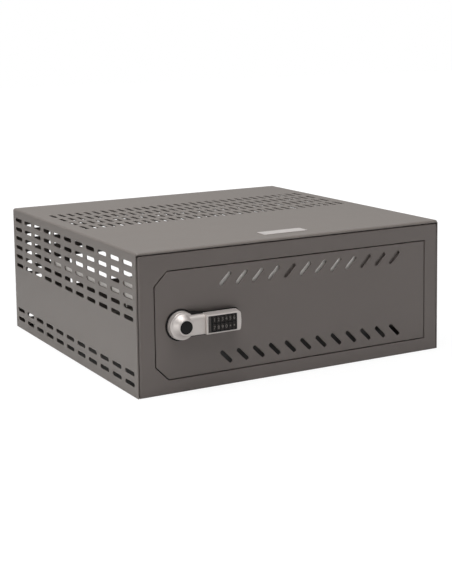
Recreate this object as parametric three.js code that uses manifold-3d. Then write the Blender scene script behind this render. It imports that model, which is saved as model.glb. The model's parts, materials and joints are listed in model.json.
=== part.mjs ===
// Ventilated steel lockbox for a video recorder, with a hinged front door and a keypad lever lock.
//
// Millimetres, +Z up. The origin is the middle of the base, the door faces -Y and +X is on the
// right-hand side of somebody who stands in front of the door.
import * as THREE from 'three';
import { mergeVertices } from 'three/addons/utils/BufferGeometryUtils.js';
import Module from 'manifold-3d';

const wasm = await Module();
wasm.setup();

// Case
const caseWidth = 450;
const caseDepth = 432;
const caseHeight = 178;
const sheet = 1.5;
const bendRadius = 3.5;
const lapGap = 0.3;
const seamGap = 1.5;
const rimRoom = 3;
const rimGap = 1;
const lapDepth = 14;
const trayFlange = 10;
const backFlange = 12;
const tabMargin = 4;

// Front edge of the cover: the top is bent down to a narrow lip, with a gap between it and the frame
const lip = { radius: 3.3, gap: 1 };

// Bolt-down holes in the base
const bolt = { radius: 3.25, sideInset: 50, endInset: 60 };

// Vents in the cover: the long side of each slot runs front to back
const vent = { length: 27.5, width: 5.5 };
const ventRows = { pitch: 13.45, fromTop: 15.5, upper: 6, fromBottom: 14.6, lower: 2 };
const sideVents = { pitch: 38.5, fromFront: 24.6, margin: 17 };
const topVents = { columnPitch: 13.1, margin: 20, rows: 4, rowPitch: 38.1, fromFront: 210 };

// Vents and cable opening in the back: the rows beside the opening and the lowest row have outer vents only
const backVent = { length: 24, width: 5.5, pitch: 35.3, margin: 15, firstRow: 1 };
const besideOpening = { rows: 2, pitch: 11.2, gap: 4 };
const cableOpening = { width: 276, height: 44.5, fromBottom: 54.6, corner: 3 };

// Shelf inside: its side flanges stand behind the front vents of one row, their lugs behind one vent above
const shelf = { ventRow: 3, below: 7.5, flange: 13, rail: 30, lip: 8, corner: 10 };
const shelfLug = { length: 35, height: 27 };
const shelfPlan = { hingeRoom: 2, depth: 98.6, end: 275 };

// Door and the opening that it fills
const doorInset = { left: 24.1, right: 24, bottom: 18.7, top: 26.7 };
const doorCorner = 17;
const doorGap = 1.2;
const doorSheet = 2;
const doorFold = 12;
const doorEdge = 0.9;
const stopGap = 0.3;
const stopLip = 10;
const doorSlot = { length: 21.8, width: 5.4, pitch: 23.32, fromEdge: 17.2, fromLeft: 96.4, margin: 40 };

// Hinge pins: both stand on one vertical axis behind the door face
const hinge = { inset: 24, faceRoom: 0.9, clearance: 0.2 };
const pin = { radius: 2, headRadius: 3.6, headHeight: 1.5, reach: 1.5 };
const thrustWasher = { radius: 4.2 };

// Lever lock, measured from its own axis and from the front face of the door
const lock = { fromLeft: 57, fromBottom: 84.3 };
const fit = 0.3;
const rose = { radius: 18.6, height: 4.5, edge: 0.8 };
const barrel = { wall: 2.7, room: 0.65 };
const spindle = { side: 8, socket: 8 };
const hub = { setback: 1.4, rimHeight: 9, collarRadius: 10, collarWall: 1.6, height: 17.6, rimEdge: 0.9 };
const capSeat = { depth: 2, dome: 0.5 };
const neck = { height: 24.8, front: 14, edge: 4 };
const housing = { start: 27.5, end: 76, height: 26.5, web: 1.6, corner: 2.2, edge: 0.8, bow: 1.2 };

// Keypad in the lever
const keypad = { left: 2.3, right: 6.2, edge: 1.75, plate: 1.5, corner: 1 };
const keyField = { strip: 4, borderX: 1.65, borderZ: 1.9 };
const keys = { columns: 6, rows: 2, gapX: 1.4, gapZ: 2, corner: 0.6, proud: 0.5, play: 0.25 };
const keyFlange = { lip: 0.45, thickness: 0.8 };
const keyTravel = 0.6;
const board = { margin: 0.6, thickness: 1 };

// Battery space behind the keypad, and the cover that closes the whole back of the housing
const battery = { radius: 10, height: 3.2 };
const batteryBay = { length: 39, room: 1, corner: 2 };
const backCover = { thickness: 2.2, fromNeck: 2 };

// Fasteners and cam behind the door
const nut = { shoulder: 4.5, height: 5 };
const washer = { shoulder: 4, thickness: 1.5 };
const cam = { overlap: 9, width: 18, thickness: 3, clearance: 1 };
const camBolt = { acrossFlats: 8, head: 3.5, shankRadius: 2.2, shankLength: 7 };
const camWasher = { radius: 7, thickness: 1.2 };

// Places worked out from the sizes above
const caseLeft = -caseWidth / 2;
const caseRight = caseWidth / 2;
const frontY = -caseDepth / 2;
const backY = caseDepth / 2;
const lapInset = sheet + lapGap;
const rimDepth = 2 * sheet + rimRoom;
const rimEdge = 0.7 * bendRadius;
const rimInset = sheet + rimGap;
const lipEnd = caseHeight - lip.radius;
const frameTop = lipEnd - lip.gap;
const coverFront = frontY + sheet;
const lapFront = frontY + rimDepth + seamGap;
const lapEnd = lapFront + lapDepth;
const backFlangeStart = backY - backFlange;
const doorLeft = caseLeft + doorInset.left;
const doorRight = caseRight - doorInset.right;
const doorBottom = doorInset.bottom;
const doorTop = caseHeight - doorInset.top;
const openingFold = doorFold + stopGap + sheet;
const hingeX = doorRight - hinge.inset;
const hingeY = frontY + doorSheet + hinge.faceRoom + pin.headRadius;

// Places on the lock, counted back from the front face of the door
const leverBack = -rose.height - fit;
const washerFront = doorSheet + fit;
const nutFront = washerFront + washer.thickness + fit;
const camFront = openingFold + cam.clearance;
const camBack = camFront + cam.thickness;
const camWasherFront = camBack + fit;
const camBoltFront = camWasherFront + camWasher.thickness + fit;
const camLength = lock.fromLeft - doorInset.left + cam.overlap;
const barrelEnd = camFront - fit;
const barrelBore = spindle.side / Math.SQRT2 + barrel.room;
const barrelRadius = barrelBore + barrel.wall;
const tapRadius = camBolt.shankRadius + fit;

// Depths of the keypad and of the battery in the housing, and the face that they give it
const keypadStack = keypad.plate + fit + keyFlange.thickness + keyTravel + fit + board.thickness + fit;
const batteryStack = backCover.thickness + fit + battery.height + fit;
const housingFront = leverBack - batteryStack - housing.web - keypadStack;
const keypadLeft = housing.start + keypad.left;
const keypadRight = housing.end - keypad.right;
const keypadMiddle = (keypadLeft + keypadRight) / 2;
const keysMiddle = keypadMiddle + keyField.strip / 2;
const keyPitchX = (keypadRight - keypadLeft - keyField.strip - 2 * keyField.borderX) / keys.columns;
const keyPitchZ = (housing.height - 2 * keypad.edge - 2 * keyField.borderZ) / keys.rows;

// Tools reach this far past what they cut
const overcut = 1;

const powderCoat = new THREE.MeshStandardMaterial({ color: 0x6e6961, roughness: 0.62, metalness: 0.1 });
const innerCoat = new THREE.MeshStandardMaterial({ color: 0x66625b, roughness: 0.66, metalness: 0.1 });
const doorCoat = new THREE.MeshStandardMaterial({ color: 0x5f5b54, roughness: 0.6, metalness: 0.1 });
const satinChrome = new THREE.MeshStandardMaterial({ color: 0xb9b6b1, roughness: 0.32, metalness: 0.85 });
const blackPlastic = new THREE.MeshStandardMaterial({ color: 0x171413, roughness: 0.4, metalness: 0 });
const keyRubber = new THREE.MeshStandardMaterial({ color: 0x35322f, roughness: 0.7, metalness: 0 });
const zincSteel = new THREE.MeshStandardMaterial({ color: 0xa6a8aa, roughness: 0.4, metalness: 0.9 });
const nylon = new THREE.MeshStandardMaterial({ color: 0xdedbd2, roughness: 0.6, metalness: 0 });
const circuitBoard = new THREE.MeshStandardMaterial({ color: 0x2b5a3a, roughness: 0.5, metalness: 0.1 });
const cellSteel = new THREE.MeshStandardMaterial({ color: 0xc4c6c8, roughness: 0.3, metalness: 0.95 });

/** Turns a closed geometry into a solid that can be joined and cut. */
function solid(geometry) {
  const bare = geometry.clone();
  bare.deleteAttribute('normal');
  bare.deleteAttribute('uv');
  const merged = mergeVertices(bare, 1e-5);
  return new wasm.Manifold(new wasm.Mesh({
    numProp: 3,
    vertProperties: Float32Array.from(merged.attributes.position.array),
    triVerts: Uint32Array.from(merged.index.array),
  }));
}

/** Turns a solid back into a named mesh. */
function piece(name, body, material) {
  const { vertProperties, triVerts } = body.getMesh();
  const geometry = new THREE.BufferGeometry();
  geometry.setAttribute('position', new THREE.BufferAttribute(vertProperties, 3));
  geometry.setIndex(new THREE.BufferAttribute(triVerts, 1));
  geometry.computeVertexNormals();
  const mesh = new THREE.Mesh(geometry, material);
  mesh.name = name;
  return mesh;
}

/** Extrudes outlines drawn in X and Y from z0 to z1. */
function prismZ(shapes, z0, z1, curveSegments = 1) {
  const geometry = new THREE.ExtrudeGeometry(shapes, { depth: z1 - z0, bevelEnabled: false, curveSegments });
  geometry.translate(0, 0, z0);
  return solid(geometry);
}

/** Extrudes outlines drawn in X and Z from y0 to y1, which is farther back. */
function prismY(shapes, y0, y1, curveSegments = 1) {
  const geometry = new THREE.ExtrudeGeometry(shapes, { depth: y1 - y0, bevelEnabled: false, curveSegments });
  geometry.rotateX(Math.PI / 2);
  geometry.translate(0, y1, 0);
  return solid(geometry);
}

/** Extrudes outlines drawn in Y and Z from x0 to x1. */
function prismX(shapes, x0, x1, curveSegments = 1) {
  const geometry = new THREE.ExtrudeGeometry(shapes, { depth: x1 - x0, bevelEnabled: false, curveSegments });
  const turn = new THREE.Matrix4().makeBasis(
    new THREE.Vector3(0, 1, 0),
    new THREE.Vector3(0, 0, 1),
    new THREE.Vector3(1, 0, 0),
  );
  geometry.applyMatrix4(turn);
  geometry.translate(x0, 0, 0);
  return solid(geometry);
}

/** Like prismY, with the outer edge of the front face rounded to the given radius. */
function roundedFront(shape, y0, y1, edge, steps, curveSegments = 1) {
  const geometry = new THREE.ExtrudeGeometry(shape, {
    depth: y1 - y0,
    bevelEnabled: true,
    bevelThickness: edge,
    bevelSize: edge,
    bevelOffset: -edge,
    bevelSegments: steps,
    curveSegments,
  });
  geometry.rotateX(Math.PI / 2);
  geometry.translate(0, y1 + edge, 0);
  const far = 2 * caseWidth;
  return solid(geometry).subtract(box(-far, far, y1, y1 + 3 * edge, -far, far));
}

/** A solid box between two corners. */
function box(x0, x1, y0, y1, z0, z1) {
  const geometry = new THREE.BoxGeometry(x1 - x0, y1 - y0, z1 - z0);
  geometry.translate((x0 + x1) / 2, (y0 + y1) / 2, (z0 + z1) / 2);
  return solid(geometry);
}

/** An upright round bar between two heights. */
function barZ(x, y, radius, z0, z1, sides = 12) {
  const geometry = new THREE.CylinderGeometry(radius, radius, z1 - z0, sides);
  geometry.rotateX(Math.PI / 2);
  geometry.translate(x, y, (z0 + z1) / 2);
  return solid(geometry);
}

/** A round bar that lies along Y, on the lock's axis unless it is placed elsewhere. */
function barY(radius, y0, y1, sides = 18, x = 0, z = 0) {
  const geometry = new THREE.CylinderGeometry(radius, radius, y1 - y0, sides);
  geometry.translate(x, (y0 + y1) / 2, z);
  return solid(geometry);
}

/** A square bar that lies along the lock's axis. */
function squareBar(side, y0, y1) {
  return box(-side / 2, side / 2, y0, y1, -side / 2, side / 2);
}

/** A hexagonal bar that lies along the lock's axis. */
function hexBar(acrossFlats, y0, y1) {
  return barY(acrossFlats / Math.sqrt(3), y0, y1, 6);
}

/** A body turned about the lock's axis from pairs of radius and distance out from the door. */
function turned(profile, sides) {
  const points = profile.map(([radius, out]) => new THREE.Vector2(radius, out));
  const geometry = new THREE.LatheGeometry(points, sides);
  geometry.rotateX(Math.PI);
  return solid(geometry);
}

/** A slot centred on a point of its drawing plane, with an end round in so many steps, or square in one. */
function slot(x, y, length, width, angle = 0, stepsPerEnd = 2) {
  const reach = (length - width) / 2;
  const points = [];
  for (const end of [1, -1]) {
    const endX = x + end * reach * Math.cos(angle);
    const endY = y + end * reach * Math.sin(angle);
    for (let i = 0; i <= stepsPerEnd; i += 1) {
      const turn = angle + Math.PI * (i / stepsPerEnd - end / 2);
      const onEnd = new THREE.Vector2(Math.cos(turn), Math.sin(turn)).multiplyScalar(width / 2);
      points.push(onEnd.add(new THREE.Vector2(endX, endY)));
    }
  }
  return new THREE.Shape(points);
}

/** A rectangle with round corners, between two corners of its drawing plane. */
function roundedRectangle(x0, x1, y0, y1, radius) {
  const shape = new THREE.Shape();
  shape.absarc(x1 - radius, y0 + radius, radius, -Math.PI / 2, 0, false);
  shape.absarc(x1 - radius, y1 - radius, radius, 0, Math.PI / 2, false);
  shape.absarc(x0 + radius, y1 - radius, radius, Math.PI / 2, Math.PI, false);
  shape.absarc(x0 + radius, y0 + radius, radius, Math.PI, 1.5 * Math.PI, false);
  shape.closePath();
  return shape;
}

/** The section of the case in X and Z, drawn in by an inset: its two top corners are bent round. */
function caseOutline(inset) {
  const x = caseWidth / 2 - inset;
  const top = caseHeight - inset;
  const radius = bendRadius - inset;
  const shape = new THREE.Shape();
  shape.moveTo(-x, inset);
  shape.lineTo(x, inset);
  if (radius > 0) {
    shape.absarc(x - radius, top - radius, radius, 0, Math.PI / 2, false);
    shape.absarc(-x + radius, top - radius, radius, Math.PI / 2, Math.PI, false);
  } else {
    shape.lineTo(x, top);
    shape.lineTo(-x, top);
  }
  shape.closePath();
  return shape;
}

/** The section of the front frame in X and Z: its sides and bottom are set in, and it ends under the lip. */
function frameOutline(side, bottom, inset) {
  const x = caseWidth / 2 - side - inset;
  const top = frameTop - inset;
  const radius = bendRadius - inset;
  const shape = new THREE.Shape();
  shape.moveTo(-x, bottom + inset);
  shape.lineTo(x, bottom + inset);
  shape.absarc(x - radius, top - radius, radius, 0, Math.PI / 2, false);
  shape.absarc(-x + radius, top - radius, radius, Math.PI / 2, Math.PI, false);
  shape.closePath();
  return shape;
}

/** The outline of the door in X and Z, grown by an offset: its two left corners are cut at 45 degrees. */
function doorOutline(grow) {
  const left = doorLeft - grow;
  const right = doorRight + grow;
  const bottom = doorBottom - grow;
  const top = doorTop + grow;
  const corner = doorCorner + grow * (2 - Math.SQRT2);
  const shape = new THREE.Shape();
  shape.moveTo(left + corner, bottom);
  shape.lineTo(right, bottom);
  shape.lineTo(right, top);
  shape.lineTo(left + corner, top);
  shape.lineTo(left, top - corner);
  shape.lineTo(left, bottom + corner);
  shape.closePath();
  return shape;
}

/** A rectangle with cut corners, between two corners of its drawing plane. */
function chamferedRectangle(x0, x1, y0, y1, cut) {
  const shape = new THREE.Shape();
  shape.moveTo(x0 + cut, y0);
  shape.lineTo(x1 - cut, y0);
  shape.lineTo(x1, y0 + cut);
  shape.lineTo(x1, y1 - cut);
  shape.lineTo(x1 - cut, y1);
  shape.lineTo(x0 + cut, y1);
  shape.lineTo(x0, y1 - cut);
  shape.lineTo(x0, y0 + cut);
  shape.closePath();
  return shape;
}

/** A given number of evenly spaced places about a middle. */
function spread(count, pitch, middle = 0) {
  return Array.from({ length: count }, (_, i) => middle + (i - (count - 1) / 2) * pitch);
}

/** As many evenly spaced places as fit in a width, about its middle. */
function fillWidth(width, margin, pitch) {
  return spread(Math.floor((width - 2 * margin) / pitch) + 1, pitch);
}

/** Evenly spaced places from a first one on, up to a last. */
function placesUpTo(first, last, pitch) {
  return Array.from({ length: Math.floor((last - first) / pitch) + 1 }, (_, i) => first + i * pitch);
}

/** The heights of the rows of vents above the plain band of the case. */
function upperRows() {
  return Array.from({ length: ventRows.upper }, (_, i) => caseHeight - ventRows.fromTop - i * ventRows.pitch);
}

/** The heights of the rows of vents under the plain band of the case. */
function lowerRows() {
  return Array.from({ length: ventRows.lower }, (_, i) => ventRows.fromBottom + i * ventRows.pitch);
}

/** Cuts the side flanges of a pan down to tabs in the plain band between the two groups of vents. */
function keepSideTabs(pan, y0, y1, top) {
  const reach = vent.width / 2 + tabMargin;
  const low = Math.max(...lowerRows()) + reach;
  const high = Math.min(...upperRows()) - reach;
  const floorEdge = lapInset + sheet;
  const roofEdge = top - sheet;
  const inner = caseWidth / 2 - lapInset - sheet - overcut;
  let body = pan;
  for (const [x0, x1] of [[caseLeft, -inner], [inner, caseRight]]) {
    body = body.subtract(box(x0, x1, y0, y1, floorEdge, low)).subtract(box(x0, x1, y0, y1, high, roofEdge));
  }
  return body;
}

/** The narrow lip along the front of the cover's top, rounded off at its two ends. */
function makeLip() {
  const end = frontY + lip.radius;
  const start = frontY - overcut;
  const hollow = roundedFront(caseOutline(sheet), frontY + sheet, end + overcut, lip.radius - sheet, 2, 2);
  return roundedFront(caseOutline(0), frontY, end, lip.radius, 3, 2)
    .subtract(hollow)
    .subtract(box(2 * caseLeft, 2 * caseRight, start, end + overcut, -overcut, lipEnd));
}

/** Top and both sides, bent from one sheet. */
function makeCover() {
  const start = coverFront - overcut;
  const end = backY + overcut;
  const body = prismY(caseOutline(0), coverFront, backY, 2)
    .subtract(prismY(caseOutline(sheet), start, end, 2))
    .subtract(box(caseLeft + sheet, caseRight - sheet, start, end, -overcut, 2 * sheet))
    .subtract(box(2 * caseLeft, 2 * caseRight, start, frontY + lip.radius, lipEnd, 2 * caseHeight))
    .add(makeLip());

  const sideSlots = [];
  for (const z of [...upperRows(), ...lowerRows()]) {
    for (const y of placesUpTo(frontY + sideVents.fromFront, backY - sideVents.margin, sideVents.pitch)) {
      sideSlots.push(slot(y, z, vent.length, vent.width));
    }
  }
  const topSlots = [];
  for (let row = 0; row < topVents.rows; row += 1) {
    const y = frontY + topVents.fromFront + row * topVents.rowPitch;
    for (const x of fillWidth(caseWidth, topVents.margin, topVents.columnPitch)) {
      topSlots.push(slot(x, y, vent.length, vent.width, Math.PI / 2, 1));
    }
  }
  return body
    .subtract(prismX(sideSlots, caseLeft - overcut, caseLeft + sheet + overcut))
    .subtract(prismX(sideSlots, caseRight - sheet - overcut, caseRight + overcut))
    .subtract(prismZ(topSlots, caseHeight - sheet - overcut, caseHeight + overcut));
}

/** Floor of the case, with flanges turned up inside the cover and four holes to bolt it down. */
function makeTray() {
  const half = caseWidth / 2 - lapInset;
  const wide = half + overcut;
  const start = lapFront - overcut;
  const end = backY + overcut;
  const above = trayFlange + overcut;
  let body = box(-half, half, lapFront, backY, 0, trayFlange)
    .subtract(box(-half + sheet, half - sheet, start, end, sheet, above))
    .subtract(box(-wide, wide, start, lapEnd + lapGap, sheet, above))
    .subtract(box(-wide, wide, backFlangeStart - lapGap, end, sheet, above));
  for (const x of [caseLeft + bolt.sideInset, caseRight - bolt.sideInset]) {
    for (const y of [frontY + bolt.endInset, backY - bolt.endInset]) {
      body = body.subtract(barZ(x, y, bolt.radius, -overcut, sheet + overcut));
    }
  }
  return body;
}

/** The middles of the vents in the back, as pairs of X and Z. */
function backVentPlaces() {
  const columns = fillWidth(caseWidth, backVent.margin + backVent.length / 2, backVent.pitch);
  const clear = (cableOpening.width + backVent.length) / 2 + besideOpening.gap;
  const overOpening = cableOpening.fromBottom + cableOpening.height + backVent.width / 2 + tabMargin;
  const outer = columns.filter((x) => Math.abs(x) > clear);
  const places = outer.map((x) => [x, ventRows.fromBottom]);
  for (const z of upperRows().slice(backVent.firstRow)) {
    const across = z > overOpening ? columns : outer;
    places.push(...across.map((x) => [x, z]));
  }
  for (let row = 1; row <= besideOpening.rows; row += 1) {
    const z = Math.min(...upperRows()) - row * besideOpening.pitch;
    places.push([columns.at(0), z], [columns.at(-1), z]);
  }
  return places;
}

/** Back wall: a shallow pan whose flanges lie inside the cover and on the tray. */
function makeBack() {
  const cableTop = cableOpening.fromBottom + cableOpening.height;
  const half = cableOpening.width / 2;
  const cableShape = roundedRectangle(-half, half, cableOpening.fromBottom, cableTop, cableOpening.corner);
  const slots = backVentPlaces().map(([x, z]) => slot(x, z, backVent.length, backVent.width, 0, 1));
  const pan = prismY(caseOutline(lapInset), backFlangeStart, backY, 2)
    .subtract(prismY(caseOutline(lapInset + sheet), backFlangeStart - overcut, backY - sheet, 2));
  return keepSideTabs(pan, backFlangeStart - overcut, backY - 2 * sheet, caseHeight - lapInset)
    .subtract(prismY(cableShape, backY - sheet - overcut, backY + overcut))
    .subtract(prismY(slots, backY - sheet - overcut, backY + overcut));
}

/** Shelf between the sides of the cover: wide at the front, and a rail along each side behind that. */
function makeShelf() {
  const top = upperRows()[shelf.ventRow] - shelf.below;
  const half = caseWidth / 2 - lapInset;
  const inner = half - shelf.rail;
  const doorSwing = Math.hypot(hinge.inset, hingeY - frontY);
  const front = hingeY + doorSwing + shelfPlan.hingeRoom;
  const end = frontY + shelfPlan.end;
  const past = end + 2 * shelf.corner;
  const cutout = roundedRectangle(-inner, inner, front + shelfPlan.depth, past, shelf.corner);
  const plate = box(-half, half, front, end, top - sheet, top)
    .subtract(prismZ(cutout, top - sheet - overcut, top + overcut, 3));
  const flangeFront = lapFront + lapGap;
  const flanges = box(-half, half, flangeFront, end, top - sheet, top + shelf.flange)
    .add(box(-half, half, flangeFront, flangeFront + shelfLug.length, top - sheet, top + shelfLug.height))
    .subtract(box(-half + sheet, half - sheet, lapFront, end + overcut, top - sheet - overcut, caseHeight));
  return plate.add(flanges).add(box(-half, half, front, front + sheet, top - shelf.lip, top));
}

/** Front frame: rounded rim, step out to the cover, folded edge round the door and door stop. */
function makeFrame() {
  const stepFront = frontY + rimDepth - sheet;
  const foldEnd = frontY + openingFold;
  const stopFront = foldEnd - sheet;
  const pinHole = hinge.clearance + pin.radius;

  const pan = roundedFront(frameOutline(rimInset, 0, 0), frontY, frontY + rimDepth, rimEdge, 3, 2)
    .add(prismY(frameOutline(lapInset, lapInset, 0), stepFront, lapEnd, 2))
    .subtract(prismY(frameOutline(rimInset, 0, sheet), frontY + sheet, stepFront, 2))
    .subtract(prismY(frameOutline(lapInset, lapInset, sheet), stepFront, lapEnd + overcut, 2));
  const fold = prismY(doorOutline(doorGap + sheet), frontY + sheet / 2, foldEnd);
  const stop = prismY(doorOutline(doorGap), stopFront, foldEnd)
    .intersect(box(caseLeft, doorLeft + stopLip, stopFront - overcut, foldEnd + overcut, 0, caseHeight));
  return keepSideTabs(pan, lapFront, lapEnd + overcut, frameTop)
    .add(fold)
    .subtract(prismY(doorOutline(doorGap), frontY - overcut, foldEnd + overcut))
    .add(stop)
    .subtract(barZ(hingeX, hingeY, pinHole, doorBottom - doorGap - sheet - overcut, doorBottom))
    .subtract(barZ(hingeX, hingeY, pinHole, doorTop, doorTop + doorGap + sheet + overcut));
}

/** Door: a pan with folded edges, two rows of slanted slots and the holes for lock and hinge pins. */
function makeDoor() {
  const pan = roundedFront(doorOutline(0), frontY, frontY + doorFold, doorEdge, 2)
    .subtract(prismY(doorOutline(-doorSheet), frontY + doorSheet, frontY + doorFold + overcut));
  const slots = [];
  for (const x of placesUpTo(doorLeft + doorSlot.fromLeft, doorRight - doorSlot.margin, doorSlot.pitch)) {
    slots.push(slot(x, doorTop - doorSlot.fromEdge, doorSlot.length, doorSlot.width, Math.PI / 4, 3));
    slots.push(slot(x, doorBottom + doorSlot.fromEdge, doorSlot.length, doorSlot.width, -Math.PI / 4, 3));
  }
  const lockHole = barY(barrelRadius + fit, -overcut, doorSheet + overcut)
    .translate([caseLeft + lock.fromLeft, frontY, lock.fromBottom]);
  return pan
    .subtract(prismY(slots, frontY - overcut, frontY + doorSheet + overcut))
    .subtract(lockHole)
    .subtract(barZ(hingeX, hingeY, hinge.clearance + pin.radius, doorBottom - overcut, doorTop + overcut));
}

/** Hinge pin: its head rests on the upper of the two folded edges that it joins. */
function makePin(seat, grip) {
  const head = seat + lapGap;
  return barZ(hingeX, hingeY, pin.radius, seat - grip - pin.reach, head)
    .add(barZ(hingeX, hingeY, pin.headRadius, head, head + pin.headHeight));
}

/** Thrust washer that carries the door in the gap over the lower edge of the opening. */
function makeThrustWasher() {
  const low = doorBottom - doorGap + lapGap;
  const high = doorBottom - lapGap;
  return barZ(hingeX, hingeY, thrustWasher.radius, low, high)
    .subtract(barZ(hingeX, hingeY, pin.radius + hinge.clearance, low - overcut, high + overcut));
}

/** Fixed rose in front of the door, with the barrel that passes through it. */
function makeRose() {
  return turned([
    [0, fit],
    [rose.radius, fit],
    [rose.radius, rose.height - rose.edge],
    [rose.radius - rose.edge, rose.height],
    [0, rose.height],
  ], 24)
    .add(barY(barrelRadius, -2 * fit, barrelEnd))
    .subtract(barY(barrelBore, -rose.height - overcut, barrelEnd + overcut));
}

/** Conical hub of the lever, from its flat back to the collar round the cap. */
function makeHub() {
  const radius = rose.radius - hub.setback;
  const coneFoot = radius - hub.rimEdge;
  const coneRise = hub.height - hub.rimHeight;
  const coneRun = coneFoot - hub.collarRadius;
  return turned([
    [0, -leverBack],
    [radius, -leverBack],
    [radius, hub.rimHeight - hub.rimEdge],
    [coneFoot, hub.rimHeight],
    [coneFoot - 0.6 * coneRun, hub.rimHeight + 0.4 * coneRise],
    [hub.collarRadius + 0.06 * coneRun, hub.rimHeight + 0.8 * coneRise],
    [hub.collarRadius, hub.height],
    [0, hub.height],
  ], 30);
}

/** Neck between hub and keypad housing, with its two front edges rounded. */
function makeNeck() {
  const half = neck.height / 2;
  const shape = new THREE.Shape();
  shape.moveTo(leverBack, -half);
  shape.lineTo(leverBack, half);
  shape.absarc(-neck.front + neck.edge, half - neck.edge, neck.edge, Math.PI / 2, Math.PI, false);
  shape.absarc(-neck.front + neck.edge, -half + neck.edge, neck.edge, Math.PI, 1.5 * Math.PI, false);
  shape.closePath();
  return prismX(shape, 0, housing.start + 2 * housing.edge, 2);
}

/** Outline of the keypad housing in X and Z, whose far end is slightly bowed. */
function housingOutline() {
  const half = housing.height / 2;
  const cut = housing.corner / 2;
  const shoulder = half - housing.corner;
  const endX = housing.end - housing.bow;
  const shape = new THREE.Shape();
  shape.moveTo(housing.start, cut - half);
  shape.lineTo(housing.start + cut, -half);
  shape.lineTo(endX - housing.corner, -half);
  shape.quadraticCurveTo(endX, -half, endX, -shoulder);
  shape.quadraticCurveTo(endX + 2 * housing.bow, 0, endX, shoulder);
  shape.quadraticCurveTo(endX, half, endX - housing.corner, half);
  shape.lineTo(housing.start + cut, half);
  shape.lineTo(housing.start, half - cut);
  shape.closePath();
  return shape;
}

/** Keypad housing, as far back as its black cover. */
function makeHousing() {
  const back = leverBack - backCover.thickness - fit;
  return roundedFront(housingOutline(), housingFront, back, housing.edge, 2, 4);
}

/** Lever: hub, neck and keypad housing in one casting, with its seats for what it holds. */
function makeLever() {
  const capFront = -hub.height;
  return makeHub()
    .add(makeNeck())
    .add(makeHousing())
    .subtract(squareBar(spindle.side + 2 * fit, leverBack - spindle.socket, leverBack + overcut))
    .subtract(barY(hub.collarRadius - hub.collarWall, capFront - overcut, capFront + capSeat.depth))
    .subtract(prismY(keypadOutline(0), housingFront - overcut, housingFront + keypadStack, 2))
    .subtract(prismY(batteryOutline(0), leverBack - batteryStack, leverBack + overcut, 2));
}

/** Cap in the collar of the hub, with a low dome. */
function makeHubCap() {
  const radius = hub.collarRadius - hub.collarWall - fit;
  return turned([
    [0, hub.height - capSeat.depth + fit],
    [radius, hub.height - capSeat.depth + fit],
    [radius, hub.height],
    [0.7 * radius, hub.height + 0.7 * capSeat.dome],
    [0, hub.height + capSeat.dome],
  ], 20);
}

/** Outline of the keypad window in X and Z, drawn in by an inset. */
function keypadOutline(inset) {
  const half = housing.height / 2 - keypad.edge - inset;
  return roundedRectangle(keypadLeft + inset, keypadRight - inset, -half, half, keypad.corner);
}

/** Outline of the battery space in X and Z, drawn in by an inset. */
function batteryOutline(inset) {
  const halfX = batteryBay.length / 2 - inset;
  const halfZ = battery.radius + batteryBay.room - inset;
  return roundedRectangle(keypadMiddle - halfX, keypadMiddle + halfX, -halfZ, halfZ, batteryBay.corner);
}

/** A key's rectangle in X and Z, grown by an offset. */
function keyOutline(x, z, grow) {
  const halfX = (keyPitchX - keys.gapX) / 2 + grow;
  const halfZ = (keyPitchZ - keys.gapZ) / 2 + grow;
  return chamferedRectangle(x - halfX, x + halfX, z - halfZ, z + halfZ, keys.corner);
}

/** The middles of the keys, row by row from the top left. */
function keyPlaces() {
  const places = [];
  for (const z of spread(keys.rows, -keyPitchZ)) {
    for (const x of spread(keys.columns, keyPitchX, keysMiddle)) {
      places.push([x, z]);
    }
  }
  return places;
}

/** Black keypad plate with a window for each key. */
function makeKeypadPlate() {
  const windows = keyPlaces().map(([x, z]) => keyOutline(x, z, keys.play));
  const plateBack = housingFront + keypad.plate;
  return prismY(keypadOutline(fit), housingFront, plateBack, 2)
    .subtract(prismY(windows, housingFront - overcut, plateBack + overcut));
}

/** One key, drawn with the front of the plate at y = 0: a cap on a flange that holds it in. */
function makeKey() {
  const flangeFront = keypad.plate + fit;
  const flangeBack = flangeFront + keyFlange.thickness;
  return prismY(keyOutline(0, 0, 0), -keys.proud, flangeBack)
    .add(prismY(keyOutline(0, 0, keyFlange.lip), flangeFront, flangeBack));
}

/** Circuit board under the keys. */
function makeBoard() {
  const back = housingFront + keypadStack - fit;
  return prismY(keypadOutline(board.margin), back - board.thickness, back, 2);
}

/** Coin cell in the back of the housing. */
function makeBattery() {
  const back = leverBack - backCover.thickness - fit;
  return barY(battery.radius, back - battery.height, back, 24, keypadMiddle);
}

/** Black cover that closes the battery space and the whole back of the housing. */
function makeBatteryCover() {
  const start = housing.start + backCover.fromNeck;
  return prismY(housingOutline(), leverBack - backCover.thickness, leverBack, 4)
    .intersect(box(start, 2 * housing.end, 2 * leverBack, 0, -housing.height, housing.height));
}

/** Square spindle from the socket in the lever to the cam, tapped at its end. */
function makeSpindle() {
  const back = camBack - fit;
  return squareBar(spindle.side, leverBack - spindle.socket + fit, back)
    .subtract(barY(tapRadius, back - camBolt.shankLength - overcut, back + overcut, 12));
}

/** Cam tongue: square eye on the spindle and a rounded end that swings behind the frame. */
function makeCam() {
  const half = cam.width / 2;
  const tipRadius = 2 * half / 3;
  const shape = new THREE.Shape();
  shape.absarc(0, 0, half, Math.PI, 2 * Math.PI, false);
  shape.absarc(half - tipRadius, camLength - tipRadius, tipRadius, 0, Math.PI / 2, false);
  shape.absarc(tipRadius - half, camLength - tipRadius, tipRadius, Math.PI / 2, Math.PI, false);
  shape.closePath();
  return prismY(shape, camFront, camBack, 4)
    .subtract(squareBar(spindle.side + 2 * fit, camFront - overcut, camBack + overcut));
}

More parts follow.
